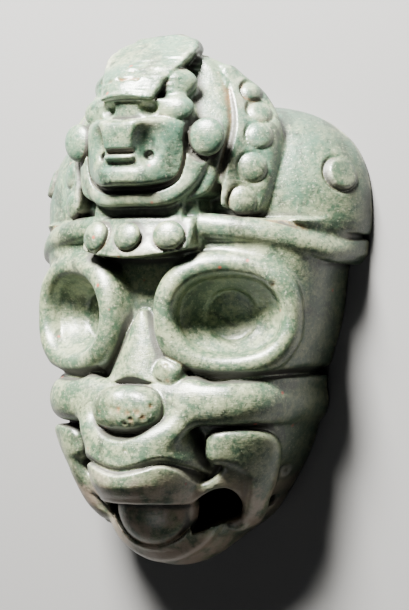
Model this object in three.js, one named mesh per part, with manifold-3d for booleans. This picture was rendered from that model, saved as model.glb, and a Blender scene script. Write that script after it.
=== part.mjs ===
// A carved stone pendant mask, lying on its flat back: +Z out of the face, +Y to the top of the head.
// All lengths are millimetres. The mask is one solid with a hollow back.
import * as THREE from 'three';
import { SimplifyModifier } from 'three/addons/modifiers/SimplifyModifier.js';
import { mergeVertices } from 'three/addons/utils/BufferGeometryUtils.js';
import Module from 'manifold-3d';

const wasm = await Module();
wasm.setup();

// Face: half width, depth and squareness of its section at each height
const FACE = {
  heights: [15, 5, -3, -13, -20, -28, -33, -37, -41, -44],
  halfWidths: [32, 30.5, 29.4, 26.6, 25.2, 22.7, 19.9, 17.4, 13.8, 9],
  depths: [21, 22, 22.5, 22.4, 22.6, 22.4, 21.2, 19.6, 17.4, 14],
  squareness: [3, 3.2, 3.3, 3.8, 3.6, 3, 2.8, 2.5, 2.3, 2.2],
};
const CHIN_AT = [0, -36, 10];
const CHIN_RADII = [13.7, 14, 15];

// Cap of the headdress
const CAP = {
  heights: [9, 13, 18, 24, 28.5, 32.5, 35.5, 37.5, 38.5],
  halfWidths: [34.4, 35.2, 35.7, 35, 32.2, 26.6, 19, 11, 1],
  depths: [21.5, 20.6, 19.6, 18.2, 16, 13, 9.5, 6, 1],
  squareness: [2.1, 2.1, 2.1, 2.1, 2.2, 2.2, 2.2, 2.2, 2.2],
};
// Roll round the foot of the cap, highest over the brow
const BAND_PATH = [31.9, 22.4];
const BAND_BROW_Y = 14;
const BAND_BACK_Y = 8.8;
const BAND_RADIUS = 2.2;
const BAND_GROOVE_RISE = 2.7;
const BAND_GROOVE_RADIUS = 0.8;
// Disc in low relief on each side of the cap
const CAP_DISC_AT = [32.4, 23.7, 7.6];
const CAP_DISC_OUT = [0.93, 0.1, 0.35];
const CAP_DISC_RADIUS = 3.4;
const CAP_DISC_GROOVE = 0.65;

// Raised ornament over the brow: its ground, and the outline of the ground on one side
const GROUND = {
  heights: [48, 46.5, 44.5, 40.9, 36.4, 31, 25, 18.8, 8],
  halfWidths: [13, 15, 19, 22, 25, 30, 31, 31, 31],
  depths: [21, 21, 21, 21, 24, 24.8, 25.5, 26, 26],
  squareness: [2, 2, 2, 2, 2, 2, 2, 2, 2],
};
const GROUND_OUTLINE = [[0, 9], [11.5, 9], [11.5, 21], [15.8, 21.2], [16.6, 18], [18.4, 16], [21, 16],
  [22.8, 19.3], [23.8, 23.3], [23.9, 28.5], [23.4, 32.5], [21.6, 36.2], [18.8, 39.6], [15.5, 42.8],
  [13, 44.3], [9, 46.3], [0, 46.5]];
const GROUND_BACK = [[0, 46.6, 17], [0, 0.9, -0.43]];
const GROUND_SHOULDER = [[13, 44.4, 15.7], [0.38, 0.84, -0.4]];
const WING_OUTLINE = [[0, 18], [8, 18], [13.6, 20], [15.2, 22.5], [16.4, 27.2], [17.2, 32.5], [17.2, 36.5],
  [16.4, 41], [14, 43.6], [9, 46.3], [0, 46.5]];
const WING_RISE = 0.9;
// Beads and inner ridge of the strip at each side of the ornament
const STRIP_BEADS = [[17.2, 40.3, 1.9], [19.7, 36, 2.3], [21.4, 30.7, 2.4], [21.1, 25.3, 2.4],
  [19.7, 18.9, 2.5]];
const STRIP_BEAD_SINK = 1.5;
const STRIP_RIDGE = [[15.8, 42.4], [17.9, 38], [18.7, 33.5], [18.3, 29], [17.6, 25], [16.4, 20]];

// Small face in the middle of the ornament
const SMALL_FACE = {
  heights: [45, 20],
  halfWidths: [16, 16],
  depths: [31.2, 31.2],
  squareness: [2.2, 2.2],
};
const SMALL_FACE_OUTLINE = [[0, 21.1], [6.6, 21.2], [8.8, 22.4], [10.2, 25.4], [10.5, 30], [10.2, 35.6],
  [9.2, 38.4], [0, 38.6]];
const SMALL_BROW_CUT = [32.7, 29.6];
const SMALL_SOCKET_AT = [3.7, 34.9, 29.6];
const SMALL_SOCKET_RADII = [2, 1.3, 2.6];
const SMALL_BULGES = [[9, 35.4, 25.4, 2.7, 2.2, 1.8], [7.4, 39.8, 22.4, 2.7, 2.5, 2]];
const SMALL_MUZZLE = [[4.7, 27.7, 32.8, 32.4], [3.9, 25.3, 27, 31.9], [4.5, 21.5, 24.5, 31.8]];
const SMALL_CHEEK_AT = [6.9, 27, 31.4];
const SMALL_CHEEK_RADII = [3.1, 4.7, 4.8];
const EAR_DISC_AT = [14.4, 29.9, 23.4];
const EAR_DISC_RADII = [3.2, 3.2, 1.9];
const COLLAR = [[12, 32, 24.4], [12, 26.6, 24.8], [11.4, 22.4, 25.6], [9.4, 19.4, 26.6], [5.4, 18.6, 28],
  [0, 18.5, 28.6]];
const COLLAR_RADII = [2.1, 2.2];

// Necklace of three beads on a block that overhangs the brow
const VISOR_HALF_WIDTH = 11.7;
const VISOR_TOP_Y = 15.4;
const VISOR_EDGE_Y = [8, 9.5];
const VISOR_DEPTH = [29.2, 26.4];
const NECK_BEADS = [[-8, 12, 26.6], [0, 12, 28.4], [8, 12, 26.9]];
const NECK_BEAD_RADII = [2.9, 2.8, 2];

// Leaf-shaped crest that leans back over the small face
const CREST = {
  heights: [37, 39.5, 42, 44.2, 46, 48, 49.3, 50],
  depths: [30.4, 29.8, 28.2, 25.2, 21.8, 18.2, 16.4, 15],
  halfWidths: [5.6, 6.2, 7, 8, 8.8, 8.9, 7.4, 4.6],
};
const CREST_THICKNESS = 3.8;
const CREST_ROUNDING = [2.4, 0.6];

// Eye rings round drilled pits
const EYE_AT = [16.4, -2.8, 19.8];
const EYE_TILT = THREE.MathUtils.degToRad(27);
const EYE_PATH = [10.8, 8.8];
const EYE_SQUARENESS = 2.6;
const EYE_RING_RADII = [3.1, 3];
const EYE_CUP_AT = [16.7, -2.7, 20.8];
const EYE_CUP_OUT = [0.375, 0, 0.927];
const EYE_CUP_RADII = [8.6, 6.1, 5];
const EYE_PIT_RADII = [4.9, 4.3];
const EYE_PIT_DEPTH = 7;

// Nose, a wedge with flat facets
const NOSE_APEX = [1.2, -2.4, 23.4, 24.6];
const NOSE_FOOT = [7.9, -14.4, 22.8, 29];
const NOSE_LUMP = [7, -13.2, 25.2, 2.2];

// Muzzle, swelling to the upper lip
const MUZZLE = {
  heights: [-13.5, -17, -21, -25, -28, -31, -33.5, -36.5, -38.6],
  halfWidths: [11.4, 11.8, 12, 12, 12.2, 13.6, 14.8, 15.4, 14.4],
  depths: [22.5, 25.5, 27.2, 28.6, 30.6, 32.8, 33.5, 31.2, 27],
  squareness: [3.4, 3.4, 3.4, 3.2, 2.8, 2.4, 2.3, 2.2, 2.2],
};
const SNOUT_AT = [0, -19.8, 28.2];
const SNOUT_RADII = [6.7, 4.6, 4];
const SCROLL = [[10.8, -15.8, 23.4], [10, -17.2, 24.6], [9.3, -20, 25.6], [8.9, -22.4, 26.8],
  [7, -24.6, 28.4], [3.8, -25.8, 29.6], [0, -26.1, 30]];
const SCROLL_RADII = [1.4, 1.9];
const MOUTH_LINE = [[13.8, -34.4], [12.2, -33.6], [10, -31.8], [6.8, -30.4], [3.2, -30.7], [0, -31.6]];
const MOUTH_LINE_RADII = [0.7, 0.9];
// Bar over each cheek, round the side of the jaw
const CHEEK_PATH = [23.2, 24.8];
const CHEEK_Y = -19.4;
const CHEEK_RADII = [3, 4.1];
// Trough between the muzzle and each hook
const TROUGH = [[13, -24, 24.6], [12.4, -27, 24.4], [12, -31, 23.6]];
const TROUGH_RADII = [1.5, 3.4];
// Hook at each corner of the mouth, and the lip that edges the opening inside it; both outlines are
// seen from the side front, along this direction
const CORNER_OUT = [0.53, 0, 0.848];
const HOOK_OUTLINE = [[-0.6, -25.2], [0.6, -24], [4.2, -23.4], [8.4, -23.5], [11.2, -24.3], [12.7, -26.1],
  [13, -29.1], [12.5, -32.9], [11.3, -36.2], [10.2, -39.5], [8.8, -41.3], [6.2, -41.8], [6.4, -39], [7.2, -36.4],
  [6.9, -34], [6.2, -31.8], [4.6, -30.4], [2.4, -29.8], [0.6, -29.6], [-0.6, -28.2]];
const HOOK_RISE = 2.6;
const CORNER_LIP = [[10.6, -34.4, 21.6], [12.4, -33.2, 20.6], [14.6, -31.8, 19.2], [16.8, -32.6, 16.8],
  [17.2, -36, 14.4], [15.6, -39.4, 12.4], [13.2, -41.6, 11.4]];
const CORNER_LIP_RADII = [2.2, 1.9];
const MOUTH_HOLE = [[-3, -42], [-3.4, -38], [-2.9, -36.4], [-1.3, -35.2], [0, -34.6], [2, -34.1], [3.4, -34.3],
  [5, -35.6], [5.8, -37.2], [5.6, -39], [4.6, -40.2], [1.5, -41.3], [-0.7, -41.8]];
const TONGUE_AT = [0, -38.6, 16];
const TONGUE_RADII = [7.4, 8, 7.4];
const LOWER_LIP = [[12, -41.6, 9], [10.4, -43.2, 12], [7.2, -45.2, 14.6], [3.6, -46.7, 15.8],
  [0, -47.3, 16.2]];
const LOWER_LIP_RADII = [2.2, 2.4];

// Hollow of the back, and the drilled holes for a cord
const HOLLOW = {
  heights: [31, 27, 15, 0, -10, -25, -38, -42.5],
  halfWidths: [14, 22, 27, 24.5, 22, 19, 13.5, 7],
  depths: [7, 11, 14, 14.5, 14.5, 14.5, 13, 8],
  squareness: [2.2, 2.2, 2.2, 2.2, 2.2, 2.2, 2.2, 2.2],
};
const CORD_HOLE_AT = [15.8, -37.6, 4.7];
const CORD_HOLE_RADII = [1.7, 1.1];
const NOTCH_AT = [20.9, -32, 6.4];
const NOTCH_RADII = [1.5, 1.5, 1.2];

const VERTICES = 4900;

// Reads a list of values smoothly by height
function reader(heights, values) {
  const order = heights.map((height, i) => [height, values[i]]).sort((a, b) => a[0] - b[0]);
  const low = order[0][0];
  const high = order[order.length - 1][0];
  const spline = new THREE.CubicInterpolant(order.map((pair) => pair[0]), order.map((pair) => pair[1]), 1);
  return (height) => spline.evaluate(THREE.MathUtils.clamp(height, low, high))[0];
}

// Half width, depth and squareness of a form at a height
function sections(form) {
  const halfWidth = reader(form.heights, form.halfWidths);
  const depth = reader(form.heights, form.depths);
  const squareness = reader(form.heights, form.squareness);
  return (y) => [halfWidth(y), depth(y), squareness(y)];
}

// Point of a rounded section at an angle
function sectionPoint(angle, halfWidth, depth, squareness) {
  const power = 2 / squareness;
  const c = Math.cos(angle);
  const s = Math.sin(angle);
  return [halfWidth * Math.sign(c) * Math.abs(c) ** power, depth * Math.sign(s) * Math.abs(s) ** power];
}

// Depth of a form at a point seen from the front
function depthAt(form, x, y) {
  const [halfWidth, depth, squareness] = sections(form)(y);
  const share = Math.min(1, Math.abs(x / halfWidth));
  return depth * (1 - share ** squareness) ** (1 / squareness);
}

// Closed geometry to a solid, its faces turned outward
function solid(geometry) {
  geometry.deleteAttribute('normal');
  geometry.deleteAttribute('uv');
  const merged = mergeVertices(geometry);
  const position = merged.attributes.position;
  const index = merged.index.array;
  const corner = (i) => new THREE.Vector3().fromBufferAttribute(position, i);
  const triangles = [];
  let volume = 0;
  for (let i = 0; i < index.length; i += 3) {
    const [a, b, c] = [index[i], index[i + 1], index[i + 2]];
    if (a !== b && b !== c && c !== a) {
      triangles.push(a, b, c);
      volume += corner(a).dot(corner(b).cross(corner(c)));
    }
  }
  if (volume < 0) triangles.reverse();
  const mesh = new wasm.Mesh({
    numProp: 3,
    vertProperties: new Float32Array(position.array),
    triVerts: new Uint32Array(triangles),
  });
  return new wasm.Manifold(mesh);
}

const join = (...solids) => wasm.Manifold.union(solids.flat(Infinity));
const pair = (make) => [make(1), make(-1)];
const onSide = (side, [x, y, z]) => [side * x, y, z];
const bothSides = (points) => [...points.map((p) => onSide(-1, p)), ...points.slice(0, -1).reverse()];

// Moves every vertex of a geometry
function moved(geometry, rule) {
  const position = geometry.attributes.position;
  const point = new THREE.Vector3();
  for (let i = 0; i < position.count; i += 1) {
    point.fromBufferAttribute(position, i);
    position.setXYZ(i, ...rule(point));
  }
  return geometry;
}

// Upright form whose rounded section changes with height
function block(form, columns, rows) {
  const at = sections(form);
  const top = Math.max(...form.heights);
  const bottom = Math.min(...form.heights);
  return solid(moved(new THREE.CylinderGeometry(1, 1, 1, columns, rows), (p) => {
    const y = THREE.MathUtils.lerp(bottom, top, p.y + 0.5);
    const radius = Math.hypot(p.x, p.z);
    const [x, z] = sectionPoint(Math.atan2(p.z, p.x), ...at(y));
    return [radius * x, y, radius * z];
  }));
}

// Sets a geometry at a point with its own Z along a direction and its own Y near upright
function set(geometry, at, out) {
  const normal = new THREE.Vector3(...out).normalize();
  const across = new THREE.Vector3(0, 1, 0).cross(normal).normalize();
  const up = normal.clone().cross(across);
  return geometry.applyMatrix4(new THREE.Matrix4().makeBasis(across, up, normal).setPosition(...at));
}

function lump(at, radii, out = [0, 0, 1], columns = 12, rows = 7) {
  return solid(set(new THREE.SphereGeometry(1, columns, rows).rotateX(Math.PI / 2).scale(...radii), at, out));
}

// Drilled hole, wider at its outer end
function drilled(at, out, outer, inner, length, columns) {
  const drill = new THREE.CylinderGeometry(outer, inner, length, columns).rotateX(Math.PI / 2);
  return solid(set(drill, at, out));
}

// Everything beyond a plane
function beyond([at, out]) {
  return solid(set(new THREE.BoxGeometry(150, 150, 80).translate(0, 0, 40), at, out));
}

// Straight prism along Z over an outline given for one side
function prism(outline, low, high) {
  const whole = [...outline, ...outline.slice(1, -1).reverse().map(([x, y]) => [-x, y])];
  const shape = new THREE.Shape(whole.map((p) => new THREE.Vector2(...p)));
  const body = new THREE.ExtrudeGeometry(shape, { depth: high - low, bevelEnabled: false });
  return solid(body.translate(0, 0, low));
}

// Form grown or shrunk on every side
function grown(form, rise) {
  const more = (values) => values.map((value) => value + rise);
  return { ...form, halfWidths: more(form.halfWidths), depths: more(form.depths) };
}

// Prism over an outline seen along a direction, on one side of the mask
function cornerPrism(side, outline) {
  const shape = new THREE.Shape(outline.map(([x, y]) => new THREE.Vector2(side * x, y)));
  const body = new THREE.ExtrudeGeometry(shape, { depth: 40, bevelEnabled: false });
  return solid(set(body, [0, 0, 0], onSide(side, CORNER_OUT)));
}

// Roll of material along points, with rounded ends
function roll(points, [halfWidth, halfThick], pieces = 10, sides = 8) {
  const curve = new THREE.CatmullRomCurve3(points.map((p) => new THREE.Vector3(...p)));
  return solid(moved(new THREE.CapsuleGeometry(1, 1, 2, sides, pieces), (p) => {
    const share = THREE.MathUtils.clamp(p.y + 0.5, 0, 1);
    const centre = curve.getPointAt(share);
    const along = curve.getTangentAt(share);
    const out = new THREE.Vector3(centre.x, 0, centre.z + 4);
    out.addScaledVector(along, -out.dot(along)).normalize();
    const across = along.clone().cross(out);
    centre.addScaledVector(along, (p.y + 0.5 - share) * halfWidth);
    centre.addScaledVector(across, p.x * halfWidth);
    centre.addScaledVector(out, p.z * halfThick);
    return centre.toArray();
  }));
}

// Closed ring on a rounded path in the plane of two directions
function ring(at, first, second, path, squareness, [halfWidth, halfThick], around, sides, lift = () => 0) {
  const a = new THREE.Vector3(...first);
  const b = new THREE.Vector3(...second);
  const n = a.clone().cross(b);
  return solid(moved(new THREE.TorusGeometry(1, 0.5, sides, around), (p) => {
    const angle = Math.atan2(p.y, p.x);
    const offset = (Math.hypot(p.x, p.y) - 1) * 2 * halfWidth;
    const here = sectionPoint(angle, ...path, squareness);
    const ahead = sectionPoint(angle + 0.01, ...path, squareness);
    const behind = sectionPoint(angle - 0.01, ...path, squareness);
    const run = Math.hypot(ahead[0] - behind[0], ahead[1] - behind[1]);
    const point = new THREE.Vector3(...at);
    point.addScaledVector(a, here[0] + offset * (ahead[1] - behind[1]) / run);
    point.addScaledVector(b, here[1] - offset * (ahead[0] - behind[0]) / run);
    point.addScaledVector(n, p.z * 2 * halfThick + lift(here));
    return point.toArray();
  }));
}

// Ring round the head that dips from the brow to the back edges
function bandRing(path, rise, radius) {
  const lift = ([x]) => {
    const share = Math.min(1, Math.abs(x / path[0]));
    return -(THREE.MathUtils.lerp(BAND_BROW_Y, BAND_BACK_Y, share ** 2) + rise);
  };
  return ring([0, 0, 0], [1, 0, 0], [0, 0, 1], path, 2.3, [radius, radius], 56, 8, lift);
}

function head() {
  const groove = bandRing([BAND_PATH[0] + 2, BAND_PATH[1] - 0.4], BAND_GROOVE_RISE, BAND_GROOVE_RADIUS);
  const body = join(block(FACE, 56, 14), lump(CHIN_AT, CHIN_RADII, [0, 0, 1], 30, 20), block(CAP, 56, 14));
  return join(body.subtract(groove), bandRing(BAND_PATH, 0, BAND_RADIUS));
}

function capDiscs() {
  return join(pair((side) => lump(onSide(side, CAP_DISC_AT), [CAP_DISC_RADIUS, CAP_DISC_RADIUS, 1],
    onSide(side, CAP_DISC_OUT), 16, 6)));
}

function capDiscGrooves() {
  return join(pair((side) => {
    const groove = new THREE.TorusGeometry(CAP_DISC_RADIUS + 0.4, CAP_DISC_GROOVE, 6, 16);
    return solid(set(groove, onSide(side, CAP_DISC_AT), onSide(side, CAP_DISC_OUT)));
  }));
}

// Ground of the ornament, with the wings of the small face standing out from it
function ground() {
  const body = block(grown(GROUND, -WING_RISE), 52, 12).intersect(prism(GROUND_OUTLINE, -2, 40));
  const wings = block(GROUND, 52, 12).intersect(prism(WING_OUTLINE, -2, 40));
  const away = pair((side) => beyond(GROUND_SHOULDER.map((p) => onSide(side, p))));
  return join(body, wings).subtract(join(beyond(GROUND_BACK), away));
}

function strips() {
  return join(pair((side) => {
    const beads = STRIP_BEADS.map(([x, y, radius]) => {
      const at = [side * x, y, depthAt(GROUND, x, y) - STRIP_BEAD_SINK];
      return lump(at, [radius, radius, 1.8], [side * 0.62, 0, 0.78], 16, 8);
    });
    const ridge = STRIP_RIDGE.map(([x, y]) => [side * x, y, depthAt(GROUND, x, y) - 1]);
    return [beads, roll(ridge, [0.8, 1.2], 8, 6)];
  }));
}

function smallFace() {
  const face = block(SMALL_FACE, 36, 1).intersect(prism(SMALL_FACE_OUTLINE, 10, 40));
  const cheeks = pair((side) => (
    lump(onSide(side, SMALL_CHEEK_AT), SMALL_CHEEK_RADII, [side * 0.2, 0, 1], 16, 10)));
  const sockets = pair((side) => lump(onSide(side, SMALL_SOCKET_AT), SMALL_SOCKET_RADII));
  const bars = SMALL_MUZZLE.map(([halfWidth, low, high, depth]) => solid(
    moved(new THREE.BoxGeometry(2, 1, 1, 6, 1, 1), (p) => [p.x * halfWidth, p.y > 0 ? high : low,
      depth - (p.z > 0 ? 0.5 * Math.abs(p.x) ** 3 : 8)]),
  ));
  const mouth = solid(new THREE.BoxGeometry(9, 5.2, 6).translate(0, 26, 33.2));
  const [browY, browZ] = SMALL_BROW_CUT;
  const brow = solid(new THREE.BoxGeometry(30, 10, 10).translate(0, browY + 5, browZ + 5));
  const bulges = SMALL_BULGES.map(([x, y, z, ...radii]) => pair((side) => (
    lump([side * x, y, z], radii, [side * 0.2, 0.3, 1], 14, 8))));
  return join(face.subtract(join(cheeks, sockets, mouth, brow)), bars, bulges);
}

function collar() {
  const ears = pair((side) => lump(onSide(side, EAR_DISC_AT), EAR_DISC_RADII, [side * 0.35, 0, 1], 14, 7));
  return join(roll(bothSides(COLLAR), COLLAR_RADII, 20, 8), ears);
}

function visor() {
  const body = solid(moved(new THREE.BoxGeometry(2, 1, 1, 10, 1, 1), (p) => {
    const share = p.x ** 2;
    const edge = THREE.MathUtils.lerp(...VISOR_EDGE_Y, share);
    return [p.x * VISOR_HALF_WIDTH, p.y > 0 ? VISOR_TOP_Y : edge,
      p.z > 0 ? THREE.MathUtils.lerp(...VISOR_DEPTH, share) - (p.y > 0 ? 2.6 : 0) : 10];
  }));
  const fold = solid(new THREE.BoxGeometry(19, 6, 14).translate(0, 16, 18));
  const beads = NECK_BEADS.map((at) => lump(at, NECK_BEAD_RADII, [at[0] * 0.03, 0.1, 1], 14, 7));
  return join(body, fold, beads);
}

function crest() {
  const depth = reader(CREST.heights, CREST.depths);
  const wide = reader(CREST.heights, CREST.halfWidths);
  const [low, high] = [CREST.heights[0], CREST.heights[CREST.heights.length - 1]];
  const leaf = solid(moved(new THREE.BoxGeometry(2, 1, 1, 10, 10, 1), (p) => {
    const y = THREE.MathUtils.lerp(low, high, p.y + 0.5);
    const lean = new THREE.Vector2(depth(y - 0.3) - depth(y + 0.3), 0.6).normalize();
    const rounding = THREE.MathUtils.lerp(...CREST_ROUNDING, p.y + 0.5) * p.x ** 2;
    const out = p.z > 0 ? -rounding : -CREST_THICKNESS;
    return [p.x * wide(y), y + lean.x * out, depth(y) + lean.y * out];
  }));
  const stem = solid(moved(new THREE.BoxGeometry(1, 1, 1), (p) => [
    p.x * 15, p.y > 0 ? 46.4 : 36, p.z > 0 ? (p.y > 0 ? 18 : 27) : (p.y > 0 ? 15 : 8),
  ]));
  return join(leaf, stem);
}

function eyes() {
  const out = (side) => [side * Math.sin(EYE_TILT), 0, Math.cos(EYE_TILT)];
  const across = (side) => [Math.cos(EYE_TILT), 0, -side * Math.sin(EYE_TILT)];
  const rims = pair((side) => {
    const rim = ring(onSide(side, EYE_AT), across(side), [0, 1, 0], EYE_PATH, EYE_SQUARENESS, EYE_RING_RADII,
      40, 10);
    const centre = onSide(side, EYE_AT).map((value, i) => value - 5 * out(side)[i]);
    const filling = moved(new THREE.CylinderGeometry(1, 1, 10, 32, 1).rotateX(Math.PI / 2), (p) => {
      const radius = Math.hypot(p.x, p.y);
      const [x, y] = sectionPoint(Math.atan2(p.y, p.x), EYE_PATH[0] + 1.6, EYE_PATH[1] + 1.6, EYE_SQUARENESS);
      return [radius * x, radius * y, p.z];
    });
    return [rim, solid(set(filling, centre, out(side)))];
  });
  return join(rims);
}

function eyePits() {
  return join(pair((side) => {
    const at = onSide(side, EYE_CUP_AT);
    const pitOut = onSide(side, EYE_CUP_OUT);
    const middle = [at[0], at[1], at[2] + 6 - EYE_PIT_DEPTH];
    return [lump(at, EYE_CUP_RADII, pitOut, 28, 14), drilled(middle, pitOut, ...EYE_PIT_RADII, 12, 24)];
  }));
}

function nose() {
  const wedge = solid(moved(new THREE.BoxGeometry(2, 1, 1, 2, 1, 1), (p) => {
    const [halfWidth, y, edge, tip] = p.y > 0 ? NOSE_APEX : NOSE_FOOT;
    return [p.x * halfWidth, y, p.z < 0 ? 16 : (Math.abs(p.x) > 0.5 ? edge : tip)];
  }));
  const [x, y, z, radius] = NOSE_LUMP;
  return join(wedge, lump([x, y, z], [radius, radius, radius], [0.5, 0, 1], 8, 5));
}

function muzzle() {
  const line = MOUTH_LINE.map(([x, y]) => [x, y, depthAt(MUZZLE, x, y) - 0.1]);
  const body = block(MUZZLE, 44, 14).subtract(roll(bothSides(line), MOUTH_LINE_RADII, 30, 6));
  const snout = lump(SNOUT_AT, SNOUT_RADII, [0, 0, 1], 22, 14);
  return join(body, roll(bothSides(SCROLL), SCROLL_RADII, 26, 8), snout);
}

function cheeks() {
  return ring([0, CHEEK_Y, 0], [1, 0, 0], [0, 0, 1], CHEEK_PATH, 3.8, CHEEK_RADII, 52, 12);
}

function hooks() {
  return join(pair((side) => [
    block(grown(FACE, HOOK_RISE), 56, 20).intersect(cornerPrism(side, HOOK_OUTLINE)),
    roll(CORNER_LIP.map((p) => onSide(side, p)), CORNER_LIP_RADII, 14, 8),
  ]));
}

function mouthHoles() {
  return join(pair((side) => cornerPrism(side, MOUTH_HOLE)));
}

function cordHoles() {
  return join(pair((side) => [
    drilled(onSide(side, CORD_HOLE_AT), [side, 0, 0.05], ...CORD_HOLE_RADII, 8, 10),
    lump(onSide(side, NOTCH_AT), NOTCH_RADII, [side, 0, 0.2], 8, 5),
  ]));
}

function mask() {
  const cap = join(head().subtract(capDiscGrooves()), capDiscs());
  const headdress = join(cap, ground(), strips(), smallFace(), collar(), visor(), crest());
  const upper = join(headdress, eyes()).subtract(eyePits());
  const troughs = pair((side) => roll(TROUGH.map((p) => onSide(side, p)), TROUGH_RADII, 6, 8));
  const jaw = join(upper, cheeks()).subtract(join(troughs));
  const lower = join(jaw, nose(), muzzle(), hooks()).subtract(mouthHoles());
  const front = join(lower, lump(TONGUE_AT, TONGUE_RADII, [0, 0, 1], 22, 14),
    roll(bothSides(LOWER_LIP), LOWER_LIP_RADII, 20, 8));
  const carved = front.subtract(join(beyond([[0, 0, 0], [0, 0, -1]]), block(HOLLOW, 40, 12), cordHoles()));
  return carved.decompose().sort((a, b) => b.volume() - a.volume())[0];
}

function toGeometry(body) {
  const mesh = body.getMesh();
  const geometry = new THREE.BufferGeometry();
  geometry.setAttribute('position', new THREE.BufferAttribute(mesh.vertProperties, 3));
  geometry.setIndex(new THREE.BufferAttribute(mesh.triVerts, 1));
  return geometry;
}

// Thins a geometry to a number of vertices and sets the middle of its base on the origin
async function thinned(geometry, vertices) {
  const count = geometry.attributes.position.count;
  const thin = await new SimplifyModifier().modify(geometry, Math.max(0, count - vertices));
  thin.computeBoundingBox();
  const { min, max } = thin.boundingBox;
  return thin.translate(-(min.x + max.x) / 2, -(min.y + max.y) / 2, -min.z);
}

const material = new THREE.MeshStandardMaterial({ color: 0x9db39a });
const carved = new THREE.Mesh(await thinned(toGeometry(mask()), VERTICES), material);
carved.name = 'mask';
const part = new THREE.Group();
part.add(carved);
export default part;
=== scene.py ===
import math
import bpy
import numpy as np
from mathutils import Matrix, Vector


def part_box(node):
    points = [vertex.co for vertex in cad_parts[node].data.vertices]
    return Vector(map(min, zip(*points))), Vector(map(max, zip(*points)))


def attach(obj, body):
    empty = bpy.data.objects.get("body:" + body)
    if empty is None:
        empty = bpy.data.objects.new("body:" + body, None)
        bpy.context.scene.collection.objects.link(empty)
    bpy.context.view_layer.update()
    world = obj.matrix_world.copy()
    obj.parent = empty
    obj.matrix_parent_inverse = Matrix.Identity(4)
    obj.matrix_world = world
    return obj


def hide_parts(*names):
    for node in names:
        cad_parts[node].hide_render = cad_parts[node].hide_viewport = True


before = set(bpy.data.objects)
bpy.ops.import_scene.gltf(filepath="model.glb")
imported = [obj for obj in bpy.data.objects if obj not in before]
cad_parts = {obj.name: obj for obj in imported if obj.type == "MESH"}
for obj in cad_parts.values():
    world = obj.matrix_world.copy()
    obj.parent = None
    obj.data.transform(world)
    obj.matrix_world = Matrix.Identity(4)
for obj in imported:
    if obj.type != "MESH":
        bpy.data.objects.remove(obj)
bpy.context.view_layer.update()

# Stone field: signed distance to the carved surface on a grid, in millimetres, below zero in the stone
STEP = 0.32
FIELD_LOW = (-36.6, -50.9, -0.9)
FIELD_HIGH = (36.6, 50.9, 34.5)
WHOLE = (FIELD_LOW, FIELD_HIGH)

# Forms list the measures of their section at each height. Lumps and hollows are given as their middle,
# their radii and, unless they face the front, the way they face.

# Face and chin
FACE = {
    "heights": [15, 5, -3, -13, -20, -28, -33, -37, -41, -44],
    "half_widths": [32, 30.5, 29.4, 26.6, 25.2, 22.7, 19.9, 17.4, 13.8, 9],
    "depths": [21, 22, 22.5, 22.4, 22.6, 22.4, 21.2, 19.6, 17.4, 14],
    "squareness": [3, 3.2, 3.3, 3.8, 3.6, 3, 2.8, 2.5, 2.3, 2.2],
}
CHIN = ((0, -36, 10), (13.7, 14, 15))

# Cap of the headdress, the roll round its foot and the disc on each side
CAP_AT, CAP_RADII, CAP_SQUARENESS = (0, 15.5, 0), (35.7, 22.3, 19.2), (2.75, 2.0)
CAP_FOOT_Y, CAP_FOOT_IN = 8.5, 1.0
BAND_PATH, BAND_SQUARENESS = (32.2, 22.2), 2.3
BAND_BROW_Y, BAND_BACK_Y = 14.0, 9.1
BAND_RADII = (2.35, 2.1)
BAND_GROOVE_PATH, BAND_GROOVE_RISE, BAND_GROOVE_RADIUS = (34.2, 22), 2.8, 0.5
CAP_DISC_AT, CAP_DISC_OUT = (33.2, 23.5, 6.6), (0.93, 0.1, 0.35)
CAP_DISC_RADIUS, CAP_DISC_RISE = 2.9, 0.8

# Raised ornament over the brow
GROUND = {
    "heights": [48, 46.5, 44.5, 40.9, 36.4, 31, 25, 18.8, 8],
    "half_widths": [20, 20.4, 21, 22.4, 25, 30, 31, 31, 31],
    "depths": [17.4, 18.2, 19.4, 21, 24, 24.8, 25.5, 26, 26],
}
GROUND_OUTLINE = [
    (0, 9), (11.5, 9), (11.5, 21), (15.6, 21.2), (16.4, 18), (18.2, 15.8), (20.6, 15.8), (22.2, 18.6),
    (22.9, 22), (23.3, 26.1), (23.2, 29.5), (22.7, 33), (21.3, 36.4), (18.8, 39.6), (15.5, 42.8),
    (13, 44.3), (9, 46.3), (0, 46.5),
]
GROUND_BACK = ((0, 46.6, 17), (0, 0.9, -0.43))
GROUND_SHOULDER = ((13, 44.4, 15.7), (0.38, 0.84, -0.4))
GROUND_EDGE_DEPTH, GROUND_UNDERCUT = 11.5, 0.66
WING_OUTLINE = [
    (0, 18), (8, 18), (13.2, 19.4), (14.7, 21.5), (15.4, 25), (16.2, 29.1), (16.4, 31.7), (15.9, 34.3),
    (14.6, 37.6), (12.9, 40.9), (10.5, 44.3), (7, 46.3), (0, 46.5),
]
WING_RISE = 1.1
STRIP_BEADS = [(18.1, 39.3, 2.1), (20.5, 35.5, 2.4), (21.7, 30.6, 2.5), (21, 24.4, 2.65), (19.6, 18.3, 2.6)]
STRIP_BEAD_SINK, STRIP_BEAD_THICK = 0.35, 1.05
STRIP_RIDGE_RISE, STRIP_RIDGE_WIDTH = 0.9, 0.95
STRIP_RIDGE = [
    (13.2, 43), (14.4, 40.9), (16.2, 37.6), (17.5, 34.3), (18.05, 31.7), (17.9, 29.1), (17.2, 25),
    (16.7, 20.6), (16.2, 17.6),
]

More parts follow.
